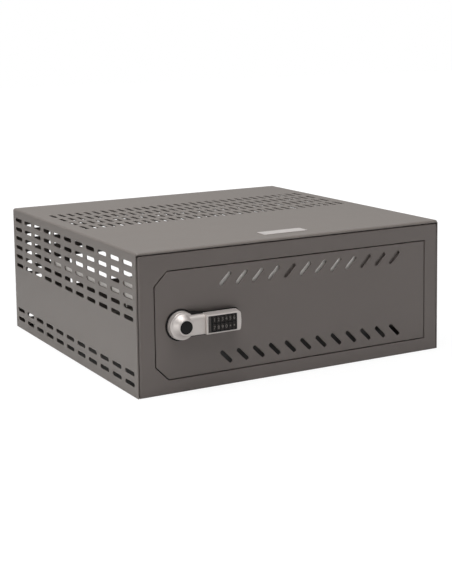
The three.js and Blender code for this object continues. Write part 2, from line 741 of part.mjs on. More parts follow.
/** A flat ring on the lock's axis. */
function makeRing(outer, inner, front, thickness) {
  return barY(outer, front, front + thickness)
    .subtract(barY(inner, front - overcut, front + thickness + overcut));
}

/** Hexagonal nut that clamps the rose to the door. */
function makeNut() {
  return hexBar(2 * (barrelRadius + nut.shoulder), nutFront, nutFront + nut.height)
    .subtract(barY(barrelRadius + fit, nutFront - overcut, nutFront + nut.height + overcut));
}

/** Bolt that holds the cam on the end of the spindle. */
function makeCamBolt() {
  return hexBar(camBolt.acrossFlats, camBoltFront, camBoltFront + camBolt.head)
    .add(barY(camBolt.shankRadius, camBack - camBolt.shankLength, camBoltFront + camBolt.head / 2, 12));
}

const lockbox = new THREE.Group();

// Case
lockbox.add(piece('wrap_cover', makeCover(), powderCoat));
lockbox.add(piece('base_tray', makeTray(), innerCoat));
lockbox.add(piece('back_panel', makeBack(), powderCoat));
lockbox.add(piece('inner_shelf', makeShelf(), zincSteel));
lockbox.add(piece('front_frame', makeFrame(), doorCoat));

// Door on its pins
const pinGrip = doorSheet + doorGap + sheet;
lockbox.add(piece('door_panel', makeDoor(), doorCoat));
lockbox.add(piece('hinge_pin_upper', makePin(doorTop + doorGap + sheet, pinGrip), zincSteel));
lockbox.add(piece('hinge_pin_lower', makePin(doorBottom + doorSheet, pinGrip), zincSteel));
lockbox.add(piece('hinge_thrust_washer', makeThrustWasher(), nylon));

// Lock, drawn about its own axis with the door's front face at y = 0
const lockGroup = new THREE.Group();
lockGroup.position.set(caseLeft + lock.fromLeft, frontY, lock.fromBottom);
lockbox.add(lockGroup);
const nutWasher = makeRing(barrelRadius + washer.shoulder, barrelRadius + fit, washerFront, washer.thickness);
const boltWasher = makeRing(camWasher.radius, tapRadius + fit, camWasherFront, camWasher.thickness);
lockGroup.add(piece('lock_rose', makeRose(), blackPlastic));
lockGroup.add(piece('lock_washer', nutWasher, zincSteel));
lockGroup.add(piece('lock_nut', makeNut(), zincSteel));
lockGroup.add(piece('lever_handle', makeLever(), satinChrome));
lockGroup.add(piece('hub_cap', makeHubCap(), blackPlastic));
lockGroup.add(piece('spindle', makeSpindle(), zincSteel));
lockGroup.add(piece('cam_tongue', makeCam(), zincSteel));
lockGroup.add(piece('cam_washer', boltWasher, zincSteel));
lockGroup.add(piece('cam_bolt', makeCamBolt(), zincSteel));
lockGroup.add(piece('keypad_plate', makeKeypadPlate(), blackPlastic));
lockGroup.add(piece('keypad_board', makeBoard(), circuitBoard));
lockGroup.add(piece('battery_cell', makeBattery(), cellSteel));
lockGroup.add(piece('battery_cover', makeBatteryCover(), blackPlastic));

const key = makeKey();
keyPlaces().forEach(([x, z], i) => {
  const mesh = piece(`key_${String(i + 1).padStart(2, '0')}`, key, keyRubber);
  mesh.position.set(x, housingFront, z);
  lockGroup.add(mesh);
});

export default lockbox;
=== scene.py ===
"""Looks of a ventilated steel lockbox with a keypad lever lock.

Every piece is drawn in millimetres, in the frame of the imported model: +Z is up, the origin is the middle of the
base and the door faces -Y. A finished piece is in metres, with its place in its mesh.
"""

from __future__ import annotations

import json
import logging
import math
from dataclasses import dataclass
from enum import Enum
from typing import Callable, Sequence, Union

import bmesh
import bpy
from mathutils import Matrix, Vector

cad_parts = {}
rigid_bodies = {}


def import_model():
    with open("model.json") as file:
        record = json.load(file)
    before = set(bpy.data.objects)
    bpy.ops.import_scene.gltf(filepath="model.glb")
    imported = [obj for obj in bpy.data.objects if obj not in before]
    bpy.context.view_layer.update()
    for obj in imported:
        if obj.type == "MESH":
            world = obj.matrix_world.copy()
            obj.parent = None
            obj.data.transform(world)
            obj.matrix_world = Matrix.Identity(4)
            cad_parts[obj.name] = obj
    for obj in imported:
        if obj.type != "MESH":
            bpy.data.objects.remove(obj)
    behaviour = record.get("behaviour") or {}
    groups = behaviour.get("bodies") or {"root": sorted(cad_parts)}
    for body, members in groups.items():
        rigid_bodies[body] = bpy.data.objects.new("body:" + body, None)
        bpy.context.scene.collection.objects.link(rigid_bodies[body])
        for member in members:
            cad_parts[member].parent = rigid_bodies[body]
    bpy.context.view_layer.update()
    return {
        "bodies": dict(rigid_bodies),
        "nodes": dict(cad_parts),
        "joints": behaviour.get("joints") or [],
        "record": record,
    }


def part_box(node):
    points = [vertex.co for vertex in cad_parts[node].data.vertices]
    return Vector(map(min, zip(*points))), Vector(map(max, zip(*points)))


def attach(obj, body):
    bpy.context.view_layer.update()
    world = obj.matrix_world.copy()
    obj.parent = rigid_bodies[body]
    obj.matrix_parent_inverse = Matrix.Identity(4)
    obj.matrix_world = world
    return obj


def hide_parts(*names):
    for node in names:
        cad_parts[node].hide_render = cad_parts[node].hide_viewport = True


LOG = logging.getLogger("lockbox")
MM = 0.001
TINY = 0.01

Colour = tuple[float, float, float]
Place = tuple[float, float]
Test = Callable[[Vector], bool]
SocketValue = Union["Signal", float, Sequence[float]]


def shade(red: int, green: int, blue: int) -> Colour:
    """Returns the linear colour of a screen colour given from 0 to 255."""
    return tuple((c / 255 / 12.92) if c <= 10 else ((c / 255 + 0.055) / 1.055) ** 2.4 for c in (red, green, blue))


# Shading


class Signal:
    """One output in a shader, which Python's operators join to others."""

    def __init__(self, graph: ShaderGraph, socket: bpy.types.NodeSocket) -> None:
        """Keeps the output and the graph that it belongs to."""
        self.graph = graph
        self.socket = socket

    def _math(self, operation: str, first: SocketValue, second: SocketValue) -> Signal:
        """Adds a Math node on two values and returns its result."""
        return self.graph.node("ShaderNodeMath", {"operation": operation}, {0: first, 1: second})

    def __add__(self, other: SocketValue) -> Signal:
        """Returns this value plus another."""
        return self._math("ADD", self, other)

    def __radd__(self, other: SocketValue) -> Signal:
        """Returns another value plus this one."""
        return self._math("ADD", other, self)

    def __sub__(self, other: SocketValue) -> Signal:
        """Returns this value less another."""
        return self._math("SUBTRACT", self, other)

    def __rsub__(self, other: SocketValue) -> Signal:
        """Returns another value less this one."""
        return self._math("SUBTRACT", other, self)

    def __mul__(self, other: SocketValue) -> Signal:
        """Returns this value times another."""
        return self._math("MULTIPLY", self, other)

    def __rmul__(self, other: SocketValue) -> Signal:
        """Returns another value times this one."""
        return self._math("MULTIPLY", other, self)


class ShaderGraph:
    """The nodes of one material or world."""

    def __init__(self, owner: bpy.types.ID) -> None:
        """Empties the node tree of its owner.

        Args:
            owner: the material or world that the graph shades.
        """
        owner.use_nodes = True
        self.tree = owner.node_tree
        self.tree.nodes.clear()

    def node(
        self, kind: str, settings: dict | None = None, sockets: dict | None = None, output: int | str = 0
    ) -> Signal:
        """Adds a node.

        Args:
            kind: the node's type.
            settings: its properties, set first.
            sockets: values or signals for its inputs, by name or number.
            output: the output that the result stands for.

        Returns:
            The node's output, or its first input where it has no outputs.
        """
        made = self.tree.nodes.new(kind)
        for key, value in (settings or {}).items():
            setattr(made, key, value)
        for key, value in (sockets or {}).items():
            given = made.inputs[key]
            if isinstance(value, Signal):
                self.tree.links.new(value.socket, given)
            else:
                opaque = isinstance(value, Sequence) and len(value) == 3 and len(given.default_value) == 4
                given.default_value = (*value, 1.0) if opaque else value
        return Signal(self, made.outputs[output] if made.outputs else made.inputs[0])

    def position(self, stretch: Sequence[float] = (1, 1, 1)) -> Signal:
        """Returns the place on the piece in metres, stretched along the axes.

        Args:
            stretch: scale along each axis, below 1 for longer marks.

        Returns:
            The place as a signal.
        """
        place = self.node("ShaderNodeTexCoord", output="Object")
        if tuple(stretch) == (1, 1, 1):
            return place
        return self.node("ShaderNodeMapping", {"vector_type": "POINT"}, {"Vector": place, "Scale": stretch})

    def noise(self, size: float, detail: float = 2.0, stretch: Sequence[float] = (1, 1, 1)) -> Signal:
        """Returns cloudy noise from about 0 to 1.

        Args:
            size: the width of its blobs in millimetres.
            detail: how many finer layers it has.
            stretch: scale along each axis, below 1 for longer blobs.

        Returns:
            The noise as a signal.
        """
        return self.node(
            "ShaderNodeTexNoise",
            {"noise_dimensions": "3D"},
            {"Vector": self.position(stretch), "Scale": 1 / (size * MM), "Detail": detail, "Roughness": 0.55},
        )

    def mix(self, first: SocketValue, second: SocketValue, share: SocketValue) -> Signal:
        """Returns a colour between two colours."""
        return self.node("ShaderNodeMix", {"data_type": "RGBA"}, {0: share, 6: first, 7: second}, output=2)

    def bump(self, height: Signal, depth: float) -> Signal:
        """Returns normals that follow a height from 0 to 1, which stands for a depth in millimetres."""
        return self.node("ShaderNodeBump", None, {"Strength": 1.0, "Distance": depth * MM, "Height": height})

    def surface(self, **sockets: SocketValue) -> None:
        """Ends the graph in a Principled shader with these inputs."""
        names = {key.replace("_", " ").title().replace("Ior", "IOR"): value for key, value in sockets.items()}
        shader = self.node("ShaderNodeBsdfPrincipled", None, names)
        self.node("ShaderNodeOutputMaterial", None, {"Surface": shader})


@dataclass(frozen=True)
class Finish:
    """What every finish has: a name and a colour."""

    name: str
    colour: Colour

    def draw(self, graph: ShaderGraph) -> None:
        """Draws the finish as shader nodes."""
        raise NotImplementedError

    def material(self) -> bpy.types.Material:
        """Returns the finish as a material, made once.

        Returns:
            The material.
        """
        known = bpy.data.materials.get(self.name)
        if known:
            return known
        made = bpy.data.materials.new(self.name)
        made.diffuse_color = (*self.colour, 1.0)
        self.draw(ShaderGraph(made))
        return made


@dataclass(frozen=True)
class PowderCoat(Finish):
    """Baked powder paint: a fine orange peel, slight clouds in the tone and dust-fine grain."""

    roughness: float = 0.42
    shine: float = 0.5
    peel: float = 2.6
    peel_depth: float = 0.035
    grain: float = 0.45
    grain_depth: float = 0.012
    clouds: float = 0.05
    cloud_size: float = 70.0

    def draw(self, graph: ShaderGraph) -> None:
        """Draws the paint as shader nodes.

        Args:
            graph: the graph of the finish's material.
        """
        peel = graph.noise(self.peel, 1.0)
        grain = graph.noise(self.grain, 2.0)
        cloud = graph.noise(self.cloud_size, 3.0)
        dark = tuple(c * (1 - self.clouds) for c in self.colour)
        light = tuple(min(1.0, c * (1 + self.clouds)) for c in self.colour)
        tone = cloud * 0.55 + grain * 0.45
        height = peel * self.peel_depth + grain * self.grain_depth
        graph.surface(
            base_color=graph.mix(dark, light, tone),
            roughness=(grain - 0.5) * 0.12 + (cloud - 0.5) * 0.1 + self.roughness,
            specular_ior_level=self.shine,
            normal=graph.bump(height, 1.0),
        )


@dataclass(frozen=True)
class CastMetal(Finish):
    """Satin-plated, galvanised or bare metal, with fine polishing lines and a soft unevenness."""

    roughness: float = 0.3
    metal: float = 1.0
    lines: Sequence[float] = (0.12, 1.0, 1.0)
    line_size: float = 0.3
    depth: float = 0.006

    def draw(self, graph: ShaderGraph) -> None:
        """Draws the metal as shader nodes.

        Args:
            graph: the graph of the finish's material.
        """
        lines = graph.noise(self.line_size, 2.0, self.lines)
        uneven = graph.noise(9.0, 2.0)
        dark = tuple(c * 0.93 for c in self.colour)
        graph.surface(
            base_color=graph.mix(dark, self.colour, uneven),
            metallic=self.metal,
            roughness=(lines - 0.5) * 0.14 + (uneven - 0.5) * 0.1 + self.roughness,
            normal=graph.bump(lines, self.depth),
        )


@dataclass(frozen=True)
class Moulded(Finish):
    """Moulded plastic or rubber with a fine spark-eroded grain."""

    roughness: float = 0.42
    shine: float = 0.3
    grain: float = 0.25
    depth: float = 0.01

    def draw(self, graph: ShaderGraph) -> None:
        """Draws the moulding as shader nodes.

        Args:
            graph: the graph of the finish's material.
        """
        grain = graph.noise(self.grain, 3.0)
        flow = graph.noise(6.0, 2.0)
        light = tuple(min(1.0, c * 1.18 + 0.002) for c in self.colour)
        graph.surface(
            base_color=graph.mix(self.colour, light, flow),
            roughness=(grain - 0.5) * 0.16 + self.roughness,
            specular_ior_level=self.shine,
            normal=graph.bump(grain, self.depth),
        )


@dataclass(frozen=True)
class CircuitMask(Finish):
    """Green solder mask over copper tracks, with bare pads between them."""

    pad: Colour = shade(190, 160, 90)
    track_size: float = 2.4

    def draw(self, graph: ShaderGraph) -> None:
        """Draws the board as shader nodes.

        Args:
            graph: the graph of the finish's material.
        """
        tones = {"Color1": (1, 1, 1), "Color2": (1, 1, 1), "Mortar": (0, 0, 0), "Mortar Size": 0.06}
        sockets = {"Vector": graph.position(), "Scale": 1 / (self.track_size * MM), **tones}
        tracks = graph.node("ShaderNodeTexBrick", {"offset": 0.5, "squash": 1.0}, sockets, output="Fac")
        light = tuple(min(1.0, c * 1.5 + 0.01) for c in self.colour)
        weave = graph.noise(0.8, 1.0)
        graph.surface(
            base_color=graph.mix(graph.mix(self.colour, light, weave), self.pad, tracks * 0.6),
            metallic=tracks * 0.5,
            roughness=weave * 0.1 + 0.3,
            normal=graph.bump(tracks, 0.03),
        )


CASE_COAT = PowderCoat("case_powder_coat", shade(130, 123, 118))
# The front frame, the door and the strips behind its slots take the case's paint darkened. The darkening is painted
# shade for the front, which is lit less than the top and sides.
SHADED_FRONT_COAT = PowderCoat("front_coat_painted_shade", shade(118, 110, 106))
# The tray takes the case's paint darkened well below it. This is painted shade that darkens the inside of the case, as
# seen through the lower vents and slots.
SHADED_INNER_COAT = PowderCoat("inner_coat_painted_shade", shade(78, 73, 70))
SATIN_CHROME = CastMetal("satin_chrome_casting", shade(220, 213, 209), roughness=0.5, metal=0.7)
ZINC_PLATE = CastMetal("zinc_plated_steel", shade(186, 188, 188), roughness=0.34, lines=(1, 1, 1), line_size=0.9)
GALVANISED = CastMetal("galvanised_sheet", shade(214, 209, 204), roughness=0.42, metal=0.25, line_size=1.6)
PALE_ZINC = CastMetal("pale_zinc_strip", shade(250, 246, 242), roughness=0.4, metal=0.1, line_size=1.6)
BARE_ALUMINIUM = CastMetal("brushed_aluminium", shade(222, 216, 213), roughness=0.36, metal=0.3, lines=(0.05, 1, 1))
NICKEL_CELL = CastMetal("nickel_plated_cell", shade(200, 202, 204), roughness=0.22)
BLACK_PLASTIC = Moulded("fine_grain_black_plastic", shade(12, 9, 9), roughness=0.42, shine=0.25)
# Painted sheen: the strip's grey, lighter than the black plate, stands for the light that the sloped left edge of the
# keypad window catches. It does not stand for a grey part.
SHEEN_STRIP_PLASTIC = Moulded("strip_plastic_painted_sheen", shade(72, 67, 65), roughness=0.45)
KEY_RUBBER = Moulded("dark_key_rubber", shade(42, 38, 36), roughness=0.6)
KEY_PRINT = Moulded("key_number_paint", shade(124, 119, 115), roughness=0.5)
NYLON = Moulded("natural_nylon", shade(222, 219, 210), roughness=0.5)
BOARD_MASK = CircuitMask("circuit_board_mask", shade(43, 90, 58))


# Shapes


class Facing(Enum):
    """How a flat drawing stands in the model: where its two axes point, and the side that it faces."""

    TOP = ((1, 0, 0), (0, 1, 0), 1)
    BOTTOM = ((1, 0, 0), (0, 1, 0), -1)
    FRONT = ((1, 0, 0), (0, 0, 1), 1)
    BACK = ((1, 0, 0), (0, 0, 1), -1)
    RIGHT = ((0, 1, 0), (0, 0, 1), 1)
    LEFT = ((0, 1, 0), (0, 0, 1), -1)

    @property
    def matrix(self) -> Matrix:
        """The turn that stands a drawing up."""
        along, up = Vector(self.value[0]), Vector(self.value[1])
        return Matrix((along, up, along.cross(up))).transposed().to_4x4()

    @property
    def flipped(self) -> bool:
        """Whether the drawing's back is what faces out."""
        return self.value[2] < 0

    @property
    def axis(self) -> Vector:
        """The axis that the drawing lies across, pointing up, back or right."""
        across = Vector(self.value[0]).cross(Vector(self.value[1]))
        return Vector([abs(c) for c in across])


def link(name: str, data: bpy.types.ID) -> bpy.types.Object:
    """Returns an object with this data, linked to the scene.

    Args:
        name: the object's name.
        data: its mesh, curve, camera or light.

    Returns:
        The object.
    """
    made = bpy.data.objects.new(name, data)
    bpy.context.scene.collection.objects.link(made)
    return made


def spread(count: int, pitch: float) -> list[float]:
    """Returns evenly spaced distances about zero."""
    return [(i - (count - 1) / 2) * pitch for i in range(count)]


class Shape:
    """A mesh in the making, in millimetres."""

    def __init__(self) -> None:
        """Starts an empty mesh."""
        self.bm = bmesh.new()

    @property
    def verts(self) -> list[bmesh.types.BMVert]:
        """All its points."""
        return list(self.bm.verts)

    # Outlines, drawn flat

    def _square(self, matrix: Matrix) -> list[bmesh.types.BMVert]:
        """Draws a square of side 1, placed by a matrix, and returns its corners."""
        return bmesh.ops.create_grid(self.bm, x_segments=1, y_segments=1, size=0.5, matrix=matrix)["verts"]

    def rectangle(self, x0: float, x1: float, y0: float, y1: float, corner: float = 0.0, steps: int = 4) -> Shape:
        """Draws a rectangle between two corners, rounded if a radius is given.

        Args:
            x0: its left edge.
            x1: its right edge.
            y0: its lower edge.
            y1: its upper edge.
            corner: the radius of its corners, or 0 for sharp ones.
            steps: the steps of each corner.

        Returns:
            This shape.
        """
        middle = Matrix.Translation(((x0 + x1) / 2, (y0 + y1) / 2, 0))
        corners = self._square(middle @ Matrix.Diagonal((x1 - x0, y1 - y0, 1, 1)))
        return self._round_corners(corners, corner, steps) if corner else self

    def slots(
        self, places: Sequence[Place], length: float, width: float, degrees: float = 0.0, steps: int = 3
    ) -> Shape:
        """Draws slots with round ends.

        Args:
            places: their middles.
            length: their length, ends included.
            width: their width.
            degrees: how far their long side is turned from the drawing's first axis.
            steps: the steps in a quarter of a round end.

        Returns:
            This shape.
        """
        turn = Matrix.Rotation(math.radians(degrees), 4, "Z") @ Matrix.Diagonal((length, width, 1, 1))
        corners = [v for x, y in places for v in self._square(Matrix.Translation((x, y, 0)) @ turn)]
        return self._round_corners(corners, width / 2, steps)

    def circle(self, x: float, y: float, radius: float, steps: int = 32) -> Shape:
        """Draws a circle.

        Args:
            x: its middle along the first axis.
            y: its middle along the second axis.
            radius: its radius.
            steps: its sides.

        Returns:
            This shape.
        """
        matrix = Matrix.Translation((x, y, 0))
        bmesh.ops.create_circle(self.bm, cap_ends=True, radius=radius, segments=steps, matrix=matrix)
        return self

    def polygon(self, points: Sequence[Place]) -> Shape:
        """Draws a closed outline through a few corners."""
        self.bm.faces.new([self.bm.verts.new((x, y, 0)) for x, y in points])
        return self

    def round_corners(self, where: Test, radius: float, steps: int = 4) -> Shape:
        """Rounds those corners of the outlines that a test picks."""
        return self._round_corners([v for v in self.bm.verts if where(v.co)], radius, steps)

    def _round_corners(self, corners: list[bmesh.types.BMVert], radius: float, steps: int) -> Shape:
        """Rounds corners of flat outlines."""
        self._bevel(corners, radius, steps, "VERTICES")
        return self.weld()

    def plate(self) -> Shape:
        """Fills the outlines: the outermost one is the plate's, and those in it are holes.

        Returns:
            This shape.
        """
        bmesh.ops.delete(self.bm, geom=list(self.bm.faces), context="FACES_ONLY")
        edges = list(self.bm.edges)
        bmesh.ops.triangle_fill(self.bm, use_beauty=True, use_dissolve=False, edges=edges, normal=(0, 0, 1))
        return self

    def place(self, facing: Facing, level: float) -> Shape:
        """Stands the drawing up, at a distance along the axis that it lies across.

        Args:
            facing: how the drawing stands.
            level: the distance along its axis.

        Returns:
            This shape.
        """
        matrix = Matrix.Translation(facing.axis * level) @ facing.matrix
        bmesh.ops.transform(self.bm, matrix=matrix, verts=self.verts)
        if facing.flipped:
            bmesh.ops.reverse_faces(self.bm, faces=list(self.bm.faces))
        return self

    # Solids

    def between(self, facing: Facing, start: float, end: float) -> Shape:
        """Stands the drawing up and makes it a solid, from one distance along its axis to another.

        Args:
            facing: how the drawing stands.
            start: where the solid starts on its axis.
            end: where it ends.

        Returns:
            This shape.
        """
        self.place(facing, start)
        made = bmesh.ops.extrude_face_region(self.bm, geom=list(self.bm.faces))
        moved = [g for g in made["geom"] if isinstance(g, bmesh.types.BMVert)]
        bmesh.ops.translate(self.bm, vec=facing.axis * (end - start), verts=moved)
        return self.face_outwards()

    def box(self, x0: float, x1: float, y0: float, y1: float, z0: float, z1: float) -> Shape:
        """Adds a solid box between two corners.

        Args:
            x0: its left end.
            x1: its right end.
            y0: its front end.
            y1: its back end.
            z0: its lower end.
            z1: its upper end.

        Returns:
            This shape.
        """
        middle = Matrix.Translation(((x0 + x1) / 2, (y0 + y1) / 2, (z0 + z1) / 2))
        bmesh.ops.create_cube(self.bm, size=1.0, matrix=middle @ Matrix.Diagonal((x1 - x0, y1 - y0, z1 - z0, 1)))
        return self

    def turned(self, profile: Sequence[Place], steps: int = 64) -> Shape:
        """Turns a profile about the lock's axis.

        Args:
            profile: pairs of radius and distance out from the door, from axis to axis or closed on itself.
            steps: the steps of a full turn.

        Returns:
            This shape.
        """
        points = [self.bm.verts.new((radius, -out, 0)) for radius, out in profile]
        edges = [self.bm.edges.new(pair) for pair in zip(points, points[1:])]
        if profile[0][0] > TINY and profile[-1][0] > TINY:
            edges.append(self.bm.edges.new((points[-1], points[0])))
        self._spin(points + edges, (0, 0, 0), (0, 1, 0), 360.0, steps)
        return self.weld(1e-4).face_outwards()

    def bar(self, radius: float, start: Sequence[float], end: Sequence[float], steps: int = 32) -> Shape:
        """Adds a round bar between two points, with so many sides.

        Args:
            radius: its radius.
            start: the middle of one end.
            end: the middle of the other end.
            steps: its sides.

        Returns:
            This shape.
        """
        start, end = Vector(start), Vector(end)
        along = end - start
        matrix = Matrix.Translation((start + end) / 2) @ along.to_track_quat("Z", "Y").to_matrix().to_4x4()
        size = {"radius1": radius, "radius2": radius, "depth": along.length}
        bmesh.ops.create_cone(self.bm, cap_ends=True, cap_tris=False, segments=steps, matrix=matrix, **size)
        return self

    def axle(self, radius: float, start: float, end: float, steps: int = 48) -> Shape:
        """Adds a round bar on the lock's axis, between two depths."""
        return self.bar(radius, (0, start, 0), (0, end, 0), steps)

    def thicken(self, sheet: float) -> Shape:
        """Gives a surface that faces outwards a wall on its inner side."""
        bmesh.ops.solidify(self.bm, geom=list(self.bm.faces), thickness=sheet)
        return self

    # Edges

    def border(self, where: Test) -> list[bmesh.types.BMEdge]:
        """Returns the open edges whose two ends pass a test."""
        return [e for e in self.bm.edges if len(e.link_faces) < 2 and all(where(v.co) for v in e.verts)]

    def pull(self, edges: list[bmesh.types.BMEdge], offset: Sequence[float]) -> None:
        """Draws a wall out of open edges, as far as an offset."""
        made = bmesh.ops.extrude_edge_only(self.bm, edges=edges)["geom"]
        bmesh.ops.translate(self.bm, vec=Vector(offset), verts=[g for g in made if isinstance(g, bmesh.types.BMVert)])

    def bend(
        self, edges: list[bmesh.types.BMEdge], centre: Sequence[float], axis: Sequence[float], degrees: float
    ) -> Shape:
        """Draws a bend out of open edges about an axis.

        Args:
            edges: the open edges.
            centre: a point on the axis.
            axis: the direction of the axis.
            degrees: the angle of the bend.

        Returns:
            This shape.
        """
        ends = list({v for e in edges for v in e.verts})
        self._spin(ends + edges, centre, axis, degrees, 8)
        return self.weld()

    def _spin(
        self, geometry: list, centre: Sequence[float], axis: Sequence[float], degrees: float, steps: int
    ) -> None:
        """Sweeps points and edges about an axis, and closes a full turn.

        Args:
            geometry: the points and edges.
            centre: a point on the axis.
            axis: the direction of the axis.
            degrees: the angle that is swept.
            steps: the steps of the sweep.
        """
        bmesh.ops.spin(
            self.bm, geom=geometry, cent=centre, axis=axis, dvec=(0, 0, 0), angle=math.radians(degrees), steps=steps,
            space=Matrix.Identity(4), use_merge=degrees == 360.0, use_normal_flip=False, use_duplicate=False,
        )

    def _bevel(self, geometry: list, radius: float, steps: int, affect: str) -> None:
        """Rounds edges, or the corners of flat outlines.

        Args:
            geometry: the edges or corners.
            radius: the radius of the rounding.
            steps: its steps.
            affect: EDGES or VERTICES.
        """
        edges = affect == "EDGES"
        bmesh.ops.bevel(
            self.bm, geom=geometry, offset=radius, offset_type="OFFSET", segments=steps, profile=0.5, affect=affect,
            material=-1, clamp_overlap=not edges, loop_slide=edges,
        )

    def weld(self, distance: float = TINY) -> Shape:
        """Merges points that lie within a distance of each other."""
        bmesh.ops.remove_doubles(self.bm, verts=self.verts, dist=distance)
        return self

    def face_outwards(self, sample: Test | None = None, direction: Sequence[float] = (0, 0, 1)) -> Shape:
        """Turns all faces outwards.

        Args:
            sample: for an open surface, a test that picks points whose faces look along the direction.
            direction: that direction.

        Returns:
            This shape.
        """
        bmesh.ops.recalc_face_normals(self.bm, faces=list(self.bm.faces))
        if sample:
            picked = [f for f in self.bm.faces if all(sample(v.co) for v in f.verts)]
            wrong = bool(picked) and picked[0].normal.dot(Vector(direction)) < 0
        else:
            wrong = self.bm.calc_volume(signed=True) < 0
        if wrong:
            bmesh.ops.reverse_faces(self.bm, faces=list(self.bm.faces))
        return self

    def round_edges(self, radius: float, steps: int = 2, degrees: float = 35.0, where: Test | None = None) -> Shape:
        """Rounds the sharp edges.

        Args:
            radius: how far the rounding reaches on each side.
            steps: its steps.
            degrees: how sharp an edge has to be.
            where: a test that both ends of an edge have to pass.

        Returns:
            This shape.
        """
        limit = math.radians(degrees)
        sharp = [e for e in self.bm.edges if len(e.link_faces) == 2 and e.calc_face_angle(0.0) > limit]
        picked = [e for e in sharp if where is None or all(where(v.co) for v in e.verts)]
        self._bevel(picked, radius, steps, "EDGES")
        return self

    # Putting shapes together

    def move(self, offset: Sequence[float]) -> Shape:
        """Moves the whole shape."""
        bmesh.ops.translate(self.bm, vec=Vector(offset), verts=self.verts)
        return self

    def add(self, other: Shape, finish: int = 0) -> Shape:
        """Takes in another shape as it is, with its faces in a finish counted from 0.

        Args:
            other: the other shape.
            finish: the number of the finish.

        Returns:
            This shape.
        """
        for f in other.bm.faces:
            f.material_index = finish
        mesh = other.mesh("part")
        self.bm.from_mesh(mesh)
        bpy.data.meshes.remove(mesh)
        return self

    def join(self, other: Shape) -> Shape:
        """Makes one solid of this shape and another."""
        return self._combine(other, "UNION")

    def cut(self, other: Shape) -> Shape:
        """Cuts another solid out of this one."""
        return self._combine(other, "DIFFERENCE")

    def _combine(self, other: Shape, operation: str) -> Shape:
        """Runs a Boolean on this shape and another, and keeps the result.

        Args:
            other: the other shape.
            operation: UNION or DIFFERENCE.

        Returns:
            This shape.
        """
        objects = [link("part", shape.mesh("part")) for shape in (self, other)]
        modifier = objects[0].modifiers.new("combine", "BOOLEAN")
        modifier.operation, modifier.solver, modifier.object = operation, "MANIFOLD", objects[1]
        self.bm.clear()
        self.take(objects[0])
        for made in objects:
            bpy.data.meshes.remove(made.data)
        return self

    def take(self, made: bpy.types.Object) -> Shape:
        """Takes in the final mesh of an object.

        Args:
            made: the object.

        Returns:
            This shape.
        """
        bpy.context.view_layer.update()
        mesh = bpy.data.meshes.new_from_object(made.evaluated_get(bpy.context.evaluated_depsgraph_get()))
        self.bm.from_mesh(mesh)
        bpy.data.meshes.remove(mesh)
        return self

    def mesh(self, name: str) -> bpy.types.Mesh:
        """Returns the shape as a mesh.

        Args:
            name: the mesh's name.

        Returns:
            The mesh.
        """
        mesh = bpy.data.meshes.new(name)
        self.bm.to_mesh(mesh)
        return mesh

    def finish(self, name: str, *finishes: Finish) -> bpy.types.Object:
        """Makes the finished piece, in metres.

        Args:
            name: the piece's name.
            finishes: its finishes, in the order that the faces count them.

        Returns:
            The piece, smoothly shaded but for its sharp edges.
        """
        bmesh.ops.transform(self.bm, matrix=Matrix.Diagonal((MM, MM, MM, 1)), verts=self.verts)
        mesh = self.mesh(name)
        self.bm.free()
        mesh.shade_smooth()
        mesh.set_sharp_from_angle(angle=math.radians(50))
        for finish in finishes:
            mesh.materials.append(finish.material())
        made = link(name, mesh)
        weigh = made.modifiers.new("even_flats", "WEIGHTED_NORMAL")
        weigh.keep_sharp, weigh.weight = True, 80
        return made


@dataclass
class SubAssembly:
    """What the sub-assemblies share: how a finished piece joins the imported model."""

    def fit(self, shape: Shape, name: str, body: str, slot: str, node: str | None, *finishes: Finish) -> None:
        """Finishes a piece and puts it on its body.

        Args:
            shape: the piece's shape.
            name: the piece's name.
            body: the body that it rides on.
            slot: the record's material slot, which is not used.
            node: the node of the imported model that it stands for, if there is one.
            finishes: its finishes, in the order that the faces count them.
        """
        piece = shape.finish(name, *finishes)
        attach(piece, body)
        if node:
            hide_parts(node)
        LOG.info("%s: %d faces on %s", piece.name, len(piece.data.polygons), body)

    def dress(self, node: bpy.types.Object, finish: Finish) -> None:
        """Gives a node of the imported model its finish.

        Args:
            node: the node.
            finish: its finish.
        """
        node.data.materials.clear()
        node.data.materials.append(finish.material())
        LOG.info("%s: dressed", node.name)


